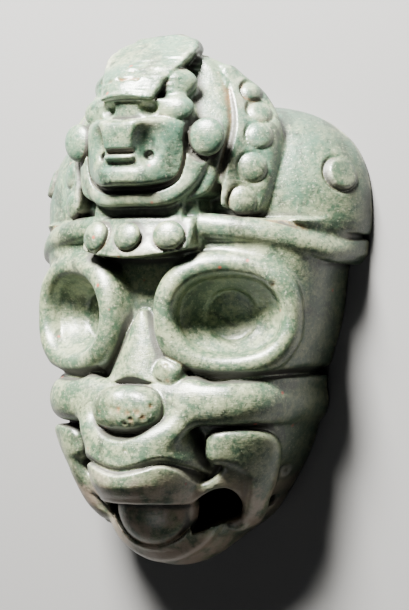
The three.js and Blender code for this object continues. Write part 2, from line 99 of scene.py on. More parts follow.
# Small face in the middle of the ornament: brow, box-shaped snout and the two bars of its mouth
SMALL_BROW = [(0, 30), (10.4, 30), (10.4, 35.6), (8.4, 36.8), (0, 37)]
SMALL_BROW_DEPTH, SMALL_BROW_BEND = 29.2, 0.035
SMALL_SNOUT = [(0, 20.8), (4.5, 20.9), (7.4, 21.6), (9.4, 23), (10.3, 26), (10.4, 29), (10.3, 33), (0, 33)]
SMALL_FRONT = {
    "heights": [33.4, 32.4, 30, 28, 26, 24, 22, 20],
    "depths": [31, 31.9, 32.3, 32.1, 31.7, 31.4, 31, 30.2],
}
SMALL_FOOT_DEPTH = 18
SMALL_FLAT_HALF, SMALL_SIDE_SLOPE = 4.6, 0.98
SMALL_SOCKET = ((4.7, 35.2, 30.0), (2.3, 1.8, 3.0))
SMALL_CHEEK = ((6.3, 28.2, 31.9), (2.7, 4.2, 3.3), (0.35, 0, 1))
SMALL_PIT_AT, SMALL_PIT_RADIUS, SMALL_PIT_LEAN = (5.0, 26.5, 29), 0.75, 0.1
SMALL_PIT_FLOOR = 25.8
SMALL_RECESS_AT, SMALL_RECESS_HALVES = (24.2, 30.9), (4.7, 3.3)
SMALL_BARS = [(3.4, 25.5, 26.8, 32.2), (4.3, 21.2, 24.4, 31.5)]
SMALL_BAR_FOOT, SMALL_BAR_BENDS = 29, (0.02, 0.12)
SMALL_BULGES = [
    ((8.9, 35.1, 25.5), (3.3, 2.5, 1.7), (0.3, 0.2, 1)),
    ((8.2, 39.9, 23.1), (3.1, 2.4, 1.8), (0.3, 0.2, 1)),
]

# Ear discs in their beds, and the collar under the small face with a groove along its inner edge
EAR_DISC = ((14.1, 29.8, 23.8), (3.6, 3.65, 1.9), (0.2, 0, 1))
EAR_BED = ((14.3, 29.3, 24.4), (4.1, 4.3, 2.2), (0.2, 0, 1))
COLLAR = [(0, 17.3), (6.8, 17.4), (9.7, 18.6), (12.6, 21.6), (13.9, 24.8), (14.4, 28), (14.2, 31), (0, 31)]
COLLAR_DEPTH, COLLAR_BEND = 28.8, 0.024
COLLAR_GROOVE_MIDDLE, COLLAR_GROOVE_REACH, COLLAR_GROOVE_DEPTH = (0.3, 0.3), (0.5, 0.25), 1.4

# Necklace on a block that overhangs the brow
VISOR_HALF_WIDTH, VISOR_TOP_Y = 11.7, 15.4
VISOR_EDGE_Y, VISOR_EDGE_RISE = 8, 1.5
VISOR_DEPTH, VISOR_BEND, VISOR_LEAN = 29.2, 2.8, 2.6
VISOR_FOLD_AT, VISOR_FOLD_HALVES = (0, 16, 18), (9.5, 3, 7)
NECK_BEADS = [
    ((8.1, 12, 27.3), (3.1, 2.8, 1.5)), ((0, 11.9, 28.7), (2.8, 2.6, 1.3)),
    ((-8, 12, 27.2), (2.8, 2.9, 1.5)),
]
NECK_BEAD_BED, NECK_BEAD_BED_DEPTH = 0.55, 1.2

# Leaf-shaped crest that leans back and overhangs on every side; depths are along its edges
CREST = {
    "heights": [36.6, 38, 40.2, 41.6, 43.3, 45, 46.4, 47.6, 48.6, 49.4, 50.0],
    "depths": [29.5, 28.5, 26.9, 25.5, 23.8, 22.0, 20.2, 18.4, 17.0, 16.0, 15.3],
    "half_widths": [6.0, 6.4, 7.1, 7.9, 8.8, 9.4, 9.6, 9.0, 7.6, 5.8, 3.6],
    "crowns": [2.0, 2.2, 2.5, 2.5, 2.2, 1.7, 1.3, 1.3, 1.3, 1.3, 1.3],
}
CREST_THICK, CREST_UNDERCUT = 5, 0.4
CREST_FOOT_AT, CREST_FOOT_END_Y = (0, 37.2, 30.4), 36.7
CREST_TIP_AT, CREST_TIP_END_Y = (0, 49.9, 15.3), 49.8

# Stone that carries the crest, and the bulge that fills the gap at each side of it
STEM_HALF_WIDTH, STEM_ENDS, STEM_DEPTHS = 6.4, (36, 46.4), (26.6, 10)
STEM_LEAN = 0.87
CREST_PROP = ((6.6, 39.8, 23.4), (2.4, 3.2, 2.5), (0.3, 0.3, 1))

# Eyes: a raised ring round a cup with a round pit
EYE_AT, EYE_TILT = (16.4, -2.6, 19.9), math.radians(24.5)
EYE_PATH, EYE_SQUARENESS = (10.6, 8.6), 2.6
EYE_RING_RADII, EYE_RING_FOOT = (3.2, 3.0), 9
EYE_CUP_RADII, EYE_CUP_LIFT = (9.3, 6.4, 6.2), 1.4
EYE_PIT_RADIUS, EYE_PIT_DEPTH, EYE_PIT_DISH = 4.9, 5.0, 0.035

# Nose, a wedge that widens and rises downward, and the lump beside it
NOSE_TOP_Y, NOSE_LENGTH, NOSE_ENDS = -2, 12, (-14.9, -1.6)
NOSE_HALF_WIDTH, NOSE_WIDENING, NOSE_FLARE = 1.2, 7.2, 0.85
NOSE_RIDGE_DEPTH, NOSE_RIDGE_RISE = 24.2, 3.6
NOSE_FOOT_DEPTH, NOSE_FOOT_FALL = 23, 0.8
NOSE_ROUNDNESS = 2.2
NOSE_LUMP_AT, NOSE_LUMP_RADII, NOSE_LUMP_TURN = (6.9, -13, 24.9), (2.9, 2.3, 2.2), (0.93, 0.36)

# Muzzle, swelling to the upper lip, with a bulge set in a recess and a bar over each cheek
MUZZLE = {
    "heights": [-13.5, -17, -21, -25, -28, -31, -33.5, -35.2, -36.3, -38],
    "half_widths": [11.4, 11.6, 12, 12.9, 13.7, 14.3, 14.2, 13.9, 13.7, 13.4],
    "depths": [24, 26.6, 28.8, 30.6, 31.8, 32.6, 32.6, 31.4, 30.2, 29],
    "squareness": [3.4, 3.4, 3.4, 3.4, 3.2, 2.6, 2.35, 2.3, 2.3, 2.3],
}
LIP_EDGE_Y, LIP_EDGE_RISE, LIP_HALF_WIDTH = -36.9, 4.0, 13
LIP_DEPTH, LIP_UNDERCUT = 32, 0.12
RECESS = ((0, -18.7, 31.6), (8.1, 6.6, 6.0))
SNOUT_AT, SNOUT_RADII, SNOUT_SQUARENESS = (0, -19.8, 27.9), (7.4, 4.4, 4.4), 2.5
SCROLL = [
    (11.2, -16.4, 23.6), (10.7, -19, 24.8), (10, -21.6, 26.2), (8.4, -24.2, 27.8), (5, -26, 29.2),
    (0, -26.8, 29.9),
]
SCROLL_HALF_WIDTH, SCROLL_THICK = 2.3, 1.9
MOUTH_LINE = [
    (14.8, -30.9), (13, -32.7), (12, -33.1), (11.3, -32.1), (10.5, -30.7), (9.2, -29.8), (7.6, -29.5),
    (4.8, -30.3), (2.4, -30.9), (0, -31.2),
]
MOUTH_LINE_DEPTH, MOUTH_LINE_REACH = 1.1, (1.7, 0.75)
MOUTH_LINE_BACK = 14
CHEEK_PATH, CHEEK_SQUARENESS, CHEEK_Y, CHEEK_RADII = (23.4, 24.6), 3.8, -18.5, (4.2, 3.1)
CHEEK_GROOVE_Y, CHEEK_GROOVE_RISE, CHEEK_GROOVE_X = -14.1, 1.5, 17.5
CHEEK_GROOVE_PATH, CHEEK_GROOVE_RADII = (27, 25.8), (2.8, 0.8)
TROUGH = [(12.9, -26.2, 24.4), (12.6, -27.6, 24), (12.3, -28.9, 23.7)]
TROUGH_HALF_WIDTH, TROUGH_DEPTH = 2.0, 3.5

# Corners of the mouth, outlined as seen from the side front
CORNER_OUT = (0.53, 0, 0.848)
HOOK_OUTLINE = [
    (-0.6, -25.2), (0.6, -24), (4.2, -23.4), (8.4, -23.5), (11.2, -24.3), (12.7, -26.1), (13, -29.1),
    (12.5, -32.9), (11.3, -36.2), (10.4, -39.2), (9.2, -41.6), (7, -42.8), (5, -42.4), (5.8, -40),
    (6.2, -37), (6.6, -34), (6.2, -31.8), (4.6, -30.4), (2.4, -29.8), (0.6, -29.6), (-0.6, -28.2),
]
HOOK_RISE = {"heights": [-22, -27, -32, -36.5, -39.4, -43], "rises": [3, 3.3, 3.7, 4.6, 5.2, 5]}
MOUTH_HOLE = [
    (-3.4, -43.2), (-3.9, -40.5), (-3.7, -38), (-2.6, -36.6), (-1.2, -35.5), (0.4, -34.6), (2.4, -34.2),
    (4, -34.6), (5.2, -35.7), (6.1, -37.8), (5.9, -39.8), (4.5, -40.8), (2, -41.2), (-1.5, -42.6),
]
CORNER_BAND = [
    (-5, -37.5), (-3.9, -35), (-2.4, -33.7), (-0.6, -33.1), (0.9, -32.2), (2.2, -30.6), (3.6, -29),
    (7.5, -29), (8.6, -32), (8.4, -37), (7.5, -41.5), (5, -43), (2.5, -40), (-2.5, -40),
]
CORNER_BAND_DROP = 1.2

# On the -X side the hook's leg is fuller and the opening is smaller
FAR_HOLE_LESS = 1.6
FAR_LEG = [
    (-17.8, -27, 20.9), (-17.2, -31, 20.2), (-16.2, -34.5, 18.8), (-14.8, -37.5, 17.6),
    (-13.2, -39.5, 16.6),
]
FAR_LEG_HALF_WIDTH, FAR_LEG_THICK, FAR_LEG_OUT = 2.6, 1.6, (-0.6, 0, 0.8)

# Open mouth with the tongue, the lower lip and a bump where the lip meets the hook
GAPE = ((0, -37.6, 22), (10, 8.3, 8))
TONGUE = ((0, -38.4, 18.2), (8.3, 7.5, 5.8))
LOWER_LIP = [
    (10.9, -37.4, 15.2), (10.5, -39.2, 16), (9.6, -41.6, 16.6), (8, -43.7, 16.8), (5.6, -45.2, 17),
    (2.8, -46.2, 17), (0, -46.6, 17),
]
LOWER_LIP_HALF_WIDTH, LOWER_LIP_THICK = 2.0, 1.7
LIP_BUMP = ((14, -41.5, 12.4), (2.2, 1.3, 1.8), CORNER_OUT)

# Hollow back and drilled holes
HOLLOW = {
    "heights": [31, 27, 15, 0, -10, -25, -38, -42.5],
    "half_widths": [14, 22, 27, 24.5, 22, 19, 13.5, 7],
    "depths": [7, 11, 14, 14.5, 14.5, 14.5, 13, 8],
    "squareness": [2.2] * 8,
}
CORD_HOLE_AT, CORD_HOLE_HALF_LENGTH, CORD_HOLE_RADIUS = (15.8, -37.6, 4.7), 6, 1.3
NOTCH = ((20.9, -32, 6.4), (1.9, 1.6, 1.6), (1, 0, 0.2))


def read(heights, values, y):
    """Smooth value at each height of a list of sections."""
    order = np.argsort(heights)
    t = np.asarray(heights, float)[order]
    v = np.asarray(values, float)[order]
    slope = np.empty_like(v)
    slope[1:-1] = (v[2:] - v[:-2]) / (t[2:] - t[:-2])
    slope[0] = (v[1] - v[0]) / (t[1] - t[0])
    slope[-1] = (v[-1] - v[-2]) / (t[-1] - t[-2])
    y = np.clip(y, t[0], t[-1])
    i = np.clip(np.searchsorted(t, y, side="right") - 1, 0, len(t) - 2)
    run = t[i + 1] - t[i]
    s = (y - t[i]) / run
    near = (1 + 2 * s) * (1 - s) ** 2 * v[i] + s * (1 - s) ** 2 * run * slope[i]
    far = s ** 2 * (3 - 2 * s) * v[i + 1] + s ** 2 * (s - 1) * run * slope[i + 1]
    return (near + far).astype(np.float32)


def at_height(form, key, y):
    return read(form["heights"], form[key], y)


def between(table, low, share):
    """Values of a table between its points, a share of the way from the low ones to the next."""
    total = 0
    for corner in np.ndindex(*[2] * table.ndim):
        weight = 1
        for c, s in zip(corner, share):
            weight = weight * (s if c else 1 - s)
        total = total + weight * table[tuple(i + c for i, c in zip(low, corner))]
    return total


def read_table(table, places):
    """Values of a table at places counted in steps from its first point."""
    places = [np.clip(place, 0, size - 1.001) for place, size in zip(places, table.shape)]
    low = [place.astype(int) for place in places]
    return between(table, low, [place - i for place, i in zip(places, low)])


def smooth_min(a, b, blend):
    if blend <= 0:
        return np.minimum(a, b)
    h = np.maximum(blend - np.abs(a - b), 0) / blend
    return np.minimum(a, b) - h * h * blend * 0.25


def smooth_max(a, b, blend):
    return -smooth_min(-a, -b, blend)


def ease(t):
    t = np.clip(t, 0, 1)
    return t * t * (3 - 2 * t)


def unit(v):
    v = np.asarray(v, float)
    return v / np.linalg.norm(v)


def basis(out):
    """Across, up and outward directions of a patch that faces a way."""
    normal = unit(out)
    across = unit(np.cross((0, 1, 0), normal))
    return across, np.cross(normal, across), normal


def local_of(at, out):
    """Reader of places in the frame of a patch: across, up and out from its middle."""
    ways = basis(out)
    return lambda x, y, z: [(x - at[0]) * d[0] + (y - at[1]) * d[1] + (z - at[2]) * d[2] for d in ways]


class Stone:
    """The field, with ways to add to it, cut it and carve it in relief."""

    def __init__(self):
        self.axes = [np.arange(lo, hi, STEP, dtype=np.float32) for lo, hi in zip(FIELD_LOW, FIELD_HIGH)]
        self.field = np.full([len(axis) for axis in self.axes], 9, np.float32)

    def near(self, low, high):
        part = tuple(slice(*np.searchsorted(axis, ends)) for axis, ends in zip(self.axes, zip(low, high)))
        x, y, z = (axis[cut] for axis, cut in zip(self.axes, part))
        return part, x[:, None, None], y[None, :, None], z[None, None, :]

    def add(self, box, shape, blend=0.0):
        part, x, y, z = self.near(*box)
        self.field[part] = smooth_min(self.field[part], shape(x, y, z), blend)

    def cut(self, box, shape, blend=0.0):
        part, x, y, z = self.near(*box)
        self.field[part] = smooth_max(self.field[part], -shape(x, y, z), blend)

    def lift(self, box, rise):
        """Raises the surface by a height in millimetres, given at each point."""
        part, x, y, z = self.near(*box)
        self.field[part] -= rise(x, y, z).astype(np.float32)

    def both(self, work, box, shape, *rest):
        """The same work on the +X side and mirrored on the -X side."""
        (x0, y0, z0), (x1, y1, z1) = box
        work(box, shape, *rest)
        work(((-x1, y0, z0), (-x0, y1, z1)), lambda x, y, z: shape(-x, y, z), *rest)

    def lumps(self, work, form, margin, blend):
        """A lump or hollow on both sides."""
        self.both(work, box_of([form[0]], margin), lump(*form), blend)


def round_section(x, z, half_width, depth, squareness):
    """Distance to a rounded section in its own plane, and the steepness used for it."""
    ax = np.abs(x) / half_width + 1e-4
    az = np.abs(z) / depth + 1e-4
    size = (ax ** squareness + az ** squareness) ** (1 / squareness)
    slope_x = ax ** (squareness - 1) / half_width * size ** (1 - squareness)
    slope_z = az ** (squareness - 1) / depth * size ** (1 - squareness)
    return size - 1, slope_x ** 2 + slope_z ** 2


def section_distance(x, z, path, squareness):
    """Distance to an upright form with the same section all the way up."""
    over, steep = round_section(x, z, *path, squareness)
    return over / np.sqrt(steep)


def belt(path, squareness, radii, line):
    """Roll laid round such a form along a line; its radii are upward and outward."""
    def shape(x, y, z):
        size = np.hypot(section_distance(x, z, path, squareness) / radii[1], (y - line(x)) / radii[0])
        return (size - 1) * radii[1]
    return shape


def block(form, rise=0.0):
    """Upright form whose rounded section changes with height."""
    def shape(x, y, z):
        half_width = at_height(form, "half_widths", y) + rise
        depth = at_height(form, "depths", y) + rise
        squareness = at_height(form, "squareness", y)
        over, steep = round_section(x, z, half_width, depth, squareness)
        slope_y = np.gradient(over, STEP, axis=1)
        distance = over / np.sqrt(steep + slope_y ** 2)
        ends = np.maximum(y - max(form["heights"]), min(form["heights"]) - y)
        return np.maximum(distance, ends)
    return shape


def depth_at(form, x, y):
    """Depth of an oval form at a point seen from the front."""
    half_width, depth = (at_height(form, key, y) for key in ("half_widths", "depths"))
    return depth * np.sqrt(np.maximum(1 - (x / half_width) ** 2, 0.02))


def lump(at, radii, out=(0, 0, 1)):
    local = local_of(at, out)

    def shape(x, y, z):
        parts = local(x, y, z)
        far = np.sqrt(sum((p / r) ** 2 for p, r in zip(parts, radii))) + 1e-5
        steep = np.sqrt(sum((p / r ** 2) ** 2 for p, r in zip(parts, radii))) + 1e-5
        return far * (far - 1) / steep
    return shape


def smooth_path(points, count):
    """Points evenly placed on a smooth curve through the given ones."""
    p = np.asarray(points, float)
    run = np.concatenate([[0], np.cumsum(np.linalg.norm(np.diff(p, axis=0), axis=1))])
    at = np.linspace(0, run[-1], count)
    return np.stack([read(run, p[:, k], at) for k in range(p.shape[1])], 1).astype(float)


def roll(points, half_width, half_thick, count=26, out=None):
    """Roll of material along a curve, wider across than it is thick."""
    path = smooth_path(points, count)

    def shape(x, y, z):
        best = None
        for start, end in zip(path[:-1], path[1:]):
            along = end - start
            middle = (start + end) / 2
            facing = np.array([middle[0], 0, middle[2] + 4]) if out is None else np.asarray(out, float)
            facing = facing - along * (facing @ along) / (along @ along)
            facing = unit(facing)
            share = ((x - start[0]) * along[0] + (y - start[1]) * along[1] + (z - start[2]) * along[2])
            share = np.clip(share / (along @ along), 0, 1)
            dx, dy, dz = (c - s0 - share * a for c, s0, a in zip((x, y, z), start, along))
            high = dx * facing[0] + dy * facing[1] + dz * facing[2]
            wide = np.sqrt(np.maximum(dx * dx + dy * dy + dz * dz - high * high, 0))
            size = np.sqrt((wide / half_width) ** 2 + (high / half_thick) ** 2)
            distance = (size - 1) * min(half_width, half_thick)
            best = distance if best is None else np.minimum(best, distance)
        return best
    return shape


def box_of(points, margin):
    p = np.asarray(points, float)
    return tuple(p.min(0) - margin), tuple(p.max(0) + margin)


def mirrored(points):
    """A path given for the +X side, carried on to the -X side."""
    return [(-p[0], *p[1:]) for p in points] + list(points[:-1])[::-1]


def line_distance(points, u, v):
    """Distance to a line of straight parts at each (u, v)."""
    gaps = []
    for (x0, y0), (x1, y1) in zip(points[:-1], points[1:]):
        ex, ey = x1 - x0, y1 - y0
        share = np.clip(((u - x0) * ex + (v - y0) * ey) / (ex * ex + ey * ey), 0, 1)
        gaps.append((u - x0 - share * ex) ** 2 + (v - y0 - share * ey) ** 2)
    return np.sqrt(np.minimum.reduce(gaps))


def outline_distance(outline, u, v):
    """Signed distance to a closed outline at each (u, v), below zero inside."""
    closed = list(outline) + list(outline[:1])
    inside = np.zeros(np.broadcast(u, v).shape, bool)
    for (x0, y0), (x1, y1) in zip(closed[:-1], closed[1:]):
        if y0 != y1:
            inside ^= ((y0 > v) != (y1 > v)) & (u < x0 + (v - y0) * (x1 - x0) / (y1 - y0))
    return np.where(inside, -1, 1) * line_distance(closed, u, v)


def table_of(distance, points, low, high):
    """Distance to a line or outline kept as a table, and a reader of it between its points."""
    step = 0.2
    u = np.arange(low[0], high[0] + step, step)
    v = np.arange(low[1], high[1] + step, step)
    table = distance(points, u[:, None], v[None, :]).astype(np.float32)

    def reader(a, b):
        return read_table(table, np.broadcast_arrays((a - low[0]) / step, (b - low[1]) / step))
    return reader


def eased(outline, count=48):
    """Smooth line through the given points."""
    return [tuple(p) for p in smooth_path(outline, count)]


def looped(outline, count=90):
    """Smooth closed outline through its points."""
    return eased(outline + outline[:1], count)[:-1]


def symmetric(outline):
    """Closed outline from its points on one side, from the bottom middle to the top middle."""
    side = eased(outline)
    return side + [(-x, y) for x, y in reversed(side[1:-1])]


def plane(at, out):
    """Distance in front of a plane, above zero on the side it faces."""
    n = unit(out)
    return lambda x, y, z: (x - at[0]) * n[0] + (y - at[1]) * n[1] + (z - at[2]) * n[2]


def corner_u(x, z):
    """Place across the corner of the mouth, as seen from the side front."""
    return CORNER_OUT[2] * x - CORNER_OUT[0] * z


def lifted(outline, drop, blend):
    """The face raised to the hook's height less a drop, inside an outline at the corner of the mouth."""
    def shape(x, y, z):
        rise = at_height(HOOK_RISE, "rises", y) - drop
        return smooth_max(block(FACE, rise)(x, y, z), outline(corner_u(x, z), y), blend)
    return shape


def smaller(shape, less):
    """The same shape, drawn in all round."""
    return lambda x, y, z: shape(x, y, z) + less


def domed(shape_size):
    """Distance to a form from a size that is 1 on its surface and grows outward."""
    def shape(x, y, z):
        size = shape_size(x, y, z)
        steep = np.sqrt(sum(g ** 2 for g in np.gradient(size, STEP))) + 1e-5
        return (size - 1) / steep
    return shape


def head(stone):
    stone.add(WHOLE, block(FACE))
    stone.add(((-18, -51, -1), (18, -18, 28)), lump(*CHIN), 3)

    def cap_size(x, y, z):
        foot = CAP_FOOT_IN * ease((CAP_AT[1] - y) / (CAP_AT[1] - CAP_FOOT_Y))
        front, side = CAP_SQUARENESS
        flat = (np.abs(x / (CAP_RADII[0] - foot)) ** front
                + (np.maximum(y - CAP_AT[1], 0) / CAP_RADII[1]) ** front + 1e-6) ** (1 / front)
        return (flat ** side + np.abs(z / CAP_RADII[2]) ** side) ** (1 / side)

    def cap(x, y, z):
        return smooth_max(domed(cap_size)(x, y, z), CAP_FOOT_Y - y, 0.5)
    stone.add(((-36.7, 5, -1), (36.7, 42, 24)), cap, 0.8)

    def band_height(x):
        share = np.minimum(1, np.abs(x) / BAND_PATH[0])
        return BAND_BROW_Y + (BAND_BACK_Y - BAND_BROW_Y) * share ** 3

    def groove(x, y, z):
        over = section_distance(x, z, BAND_GROOVE_PATH, BAND_SQUARENESS)
        return np.hypot(over, y - band_height(x) - BAND_GROOVE_RISE) - BAND_GROOVE_RADIUS
    around = ((-36.7, 4, -1), (36.7, 22, 28))
    stone.cut(around, groove, 1.2)
    stone.add(around, belt(BAND_PATH, BAND_SQUARENESS, BAND_RADII, band_height), 0.6)


def cap_discs(stone):
    local = local_of(CAP_DISC_AT, CAP_DISC_OUT)

    def disc(x, y, z):
        a, b, _ = local(x, y, z)
        far = np.hypot(a, b)
        low_side = 0.5 - 0.5 * (0.75 * a + 0.66 * b) / CAP_DISC_RADIUS
        face = CAP_DISC_RISE * ease((CAP_DISC_RADIUS + 0.25 - far) / 0.7) * (0.25 + 0.75 * low_side)
        groove = 0.55 * ease(1 - np.abs(far - CAP_DISC_RADIUS - 0.45) / 0.6) * ease(low_side * 1.4)
        return face - groove
    stone.both(stone.lift, box_of([CAP_DISC_AT], 5.5), disc)


def ornament(stone):
    ground = table_of(outline_distance, symmetric(GROUND_OUTLINE), (-27, 5), (27, 49))
    wings = table_of(outline_distance, symmetric(WING_OUTLINE), (-27, 5), (27, 49))
    back, side = plane(*GROUND_BACK), plane(*GROUND_SHOULDER)

    def body(x, y, z):
        away = smooth_max(back(x, y, z), np.maximum(side(x, y, z), side(-x, y, z)), 0.8)
        front = depth_at(GROUND, x, y)
        steep = np.sqrt(1 + sum(g ** 2 for g in np.gradient(front[:, :, 0], STEP)))[:, :, None]
        above = (z - front) / steep
        under = GROUND_UNDERCUT * np.maximum(GROUND_EDGE_DEPTH - z, 0)
        flat = smooth_max(above + WING_RISE, (ground(x, y) + under) * 0.85, 1.0)
        raised = smooth_max(above, (wings(x, y) + under) * 0.85, 0.8)
        return smooth_max(smooth_min(flat, raised, 0.2), away, 0.9)
    stone.add(((-26, 6, -1), (26, 48, 28)), body, 0.5)


def ground_out(x, y):
    """Direction out of the ornament's ground at a point seen from the front."""
    step = 0.2
    across = (depth_at(GROUND, x + step, y) - depth_at(GROUND, x - step, y)) / (2 * step)
    up = (depth_at(GROUND, x, y + step) - depth_at(GROUND, x, y - step)) / (2 * step)
    return unit((-across, -up, 1))


def strips(stone):
    ridge = table_of(line_distance, eased(STRIP_RIDGE, 40), (10, 14), (24, 48))

    def rise(x, y, z):
        far = ridge(x, y)
        swell = STRIP_RIDGE_RISE * np.exp(-(far / STRIP_RIDGE_WIDTH) ** 2)
        return swell * ease((z - GROUND_EDGE_DEPTH) / 2)
    stone.both(stone.lift, ((11, 15, 8), (24, 46, 28)), rise)
    for x, y, radius in STRIP_BEADS:
        out = ground_out(x, y)
        at = np.array([x, y, depth_at(GROUND, x, y)]) - out * (WING_RISE + STRIP_BEAD_SINK)
        around = lump(at + out * 0.45, (radius + 0.5, radius + 0.5, 0.75), out)
        stone.both(stone.cut, box_of([at], radius + 2.5), around, 0.4)
        bead = lump(at, (radius, radius, STRIP_BEAD_THICK), out)
        stone.both(stone.add, box_of([at], radius + 2.5), bead, 0.12)


def small_face(stone):
    brow = table_of(outline_distance, symmetric(SMALL_BROW), (-14, 17), (14, 42))
    snout = table_of(outline_distance, symmetric(SMALL_SNOUT), (-14, 17), (14, 42))
    for bulge in SMALL_BULGES:
        stone.lumps(stone.add, bulge, 5, 2.2)

    def brow_block(x, y, z):
        front = SMALL_BROW_DEPTH - SMALL_BROW_BEND * x * x
        return smooth_max(smooth_max(z - front, brow(x, y), 1.0), SMALL_FOOT_DEPTH - z, 0)
    stone.add(((-13, 28, 16), (13, 42, 34)), brow_block, 0.6)

    def snout_block(x, y, z):
        front = at_height(SMALL_FRONT, "depths", y)
        beyond = smooth_max(np.abs(x) - SMALL_FLAT_HALF, 0 * x - 0.2, 1.5)
        above = (z - front + SMALL_SIDE_SLOPE * beyond) * 0.8
        return smooth_max(smooth_max(above, snout(x, y), 0.9), SMALL_FOOT_DEPTH - z, 0)
    stone.add(((-13, 18, 16), (13, 35, 34.4)), snout_block, 0.15)
    stone.lumps(stone.cut, SMALL_CHEEK, 7, 1.8)

    def pit(x, y, z):
        lean = SMALL_PIT_LEAN * (z - SMALL_PIT_AT[2])
        far = np.hypot(x - SMALL_PIT_AT[0] - lean, y - SMALL_PIT_AT[1])
        return smooth_max(far - SMALL_PIT_RADIUS, SMALL_PIT_FLOOR - z, 0.4)
    stone.both(stone.cut, ((3, 24, 24.5), (8, 29, 34)), pit, 0.4)

    def mouth_recess(x, y, z):
        half_width, half_height = SMALL_RECESS_HALVES
        flat = smooth_max(np.abs(x) - half_width, np.abs(y - SMALL_RECESS_AT[0]) - half_height, 0.7)
        return smooth_max(flat, SMALL_RECESS_AT[1] - z, 0.6)
    stone.cut(((-8, 19, 28), (8, 30, 34.4)), mouth_recess, 0.5)
    for bar in SMALL_BARS:
        stone.add(((-7, 19, 28), (7, 29, 34.4)), small_bar(*bar), 0.2)
    stone.lumps(stone.cut, SMALL_SOCKET, 5, 0.5)


def small_bar(half_width, low, high, depth):
    """Bar across the small mouth, between two heights."""
    middle, half = (low + high) / 2, (high - low) / 2

    def shape(x, y, z):
        flat = smooth_max(np.abs(x) - half_width, np.abs(y - middle) - half, 0.8)
        front = depth - SMALL_BAR_BENDS[0] * x * x - SMALL_BAR_BENDS[1] * (y - middle) ** 2
        return smooth_max(smooth_max(flat, z - front, 0.9), SMALL_BAR_FOOT - z, 0)
    return shape


def collar(stone):
    ribbon = table_of(outline_distance, symmetric(COLLAR), (-18, 14), (18, 36))
    snout = table_of(outline_distance, symmetric(SMALL_SNOUT), (-18, 14), (18, 42))

    def front(x):
        return COLLAR_DEPTH - COLLAR_BEND * x * x

    def plate(x, y, z):
        return smooth_max(smooth_max(z - front(x), ribbon(x, y), 1.3), SMALL_FOOT_DEPTH - z, 0)
    stone.add(((-17, 15, 16), (17, 33, 31)), plate, 0.3)

    def groove(x, y, z):
        lower = ease((24 - y) / 4)
        middle = COLLAR_GROOVE_MIDDLE[0] + COLLAR_GROOVE_MIDDLE[1] * lower
        reach = COLLAR_GROOVE_REACH[0] + COLLAR_GROOVE_REACH[1] * lower
        floor_at = front(x) - COLLAR_GROOVE_DEPTH - 0.3
        return smooth_max(np.abs(snout(x, y) - middle) - reach, floor_at - z, 0.5) + 0.3
    stone.cut(((-14, 16, 20), (14, 33, 31)), groove, 0.5)
    around = box_of([EAR_DISC[0]], 6)
    stone.both(stone.cut, around, lump(*EAR_BED), 0.3)
    stone.both(stone.add, around, lump(*EAR_DISC), 0.15)


def visor(stone):
    def body(x, y, z):
        share = np.minimum(1.2, (x / VISOR_HALF_WIDTH) ** 2)
        edge = VISOR_EDGE_Y + VISOR_EDGE_RISE * share
        front = VISOR_DEPTH - VISOR_BEND * share - VISOR_LEAN * ease((y - edge) / 7)
        return smooth_max(smooth_max(smooth_max(z - front, y - VISOR_TOP_Y, 0.8), edge - y, 0.25),
                          smooth_max(np.abs(x) - VISOR_HALF_WIDTH, 10 - z, 0), 0.9)
    stone.add(((-15, 5, 8), (15, 18, 31)), body, 0.2)

    def fold(x, y, z):
        gaps = [np.abs(c - at) - half for c, at, half in zip((x, y, z), VISOR_FOLD_AT, VISOR_FOLD_HALVES)]
        return smooth_max(smooth_max(gaps[0], gaps[1], 0.5), gaps[2], 0.5)
    stone.add(((-12, 11, 8), (12, 21, 27)), fold, 0.5)
    for at, radii in NECK_BEADS:
        out = (at[0] * 0.03, 0.25, 1)
        bed = (radii[0] + NECK_BEAD_BED, radii[1] + NECK_BEAD_BED, NECK_BEAD_BED_DEPTH)
        stone.cut(box_of([at], 5), smaller(lump(at, bed, out), 0.1), 0.4)
        stone.add(box_of([at], 5), lump(at, radii, out), 0.1)


def crest(stone):
    def leaf(x, y, z):
        half = at_height(CREST, "half_widths", y)
        edge = at_height(CREST, "depths", y)
        slope_y = (at_height(CREST, "depths", y - 0.3) - at_height(CREST, "depths", y + 0.3)) / 0.6
        tilt = 1 / np.sqrt(1 + slope_y ** 2)
        domed_by = at_height(CREST, "crowns", y) * (1 - np.clip((x / half) ** 2, 0, 1.2))
        above = (z - edge - domed_by) * tilt
        below = -above - CREST_THICK
        sides = (np.abs(x) - half - CREST_UNDERCUT * (z - edge)) * 0.8
        foot = (CREST_FOOT_AT[1] - y) * 0.85 + (z - CREST_FOOT_AT[2]) * 0.5
        foot = smooth_max(foot, CREST_FOOT_END_Y - y, 0.4)
        tip = (y - CREST_TIP_AT[1]) * 0.7 - (z - CREST_TIP_AT[2]) * 0.7
        ends = np.maximum(foot, np.maximum(tip, y - CREST_TIP_END_Y))
        return smooth_max(smooth_max(smooth_max(above, below, 0.6), sides, 1.0), ends, 0.5)

    def stem(x, y, z):
        low, high = STEM_ENDS
        front, foot = STEM_DEPTHS
        above = z - front + (y - low) * STEM_LEAN
        body = smooth_max(smooth_max(np.abs(x) - STEM_HALF_WIDTH, above, 0.5),
                          smooth_max(y - high, low - y, 0.5), 0.5)
        return np.maximum(body, foot - z)
    stone.add(((-10, 34, 8), (10, 48, 28)), stem, 0.4)
    stone.lumps(stone.add, CREST_PROP, 6, 1.6)
    stone.add(((-12.5, 35, 8), (12.5, 50.9, 34)), leaf, 0.15)


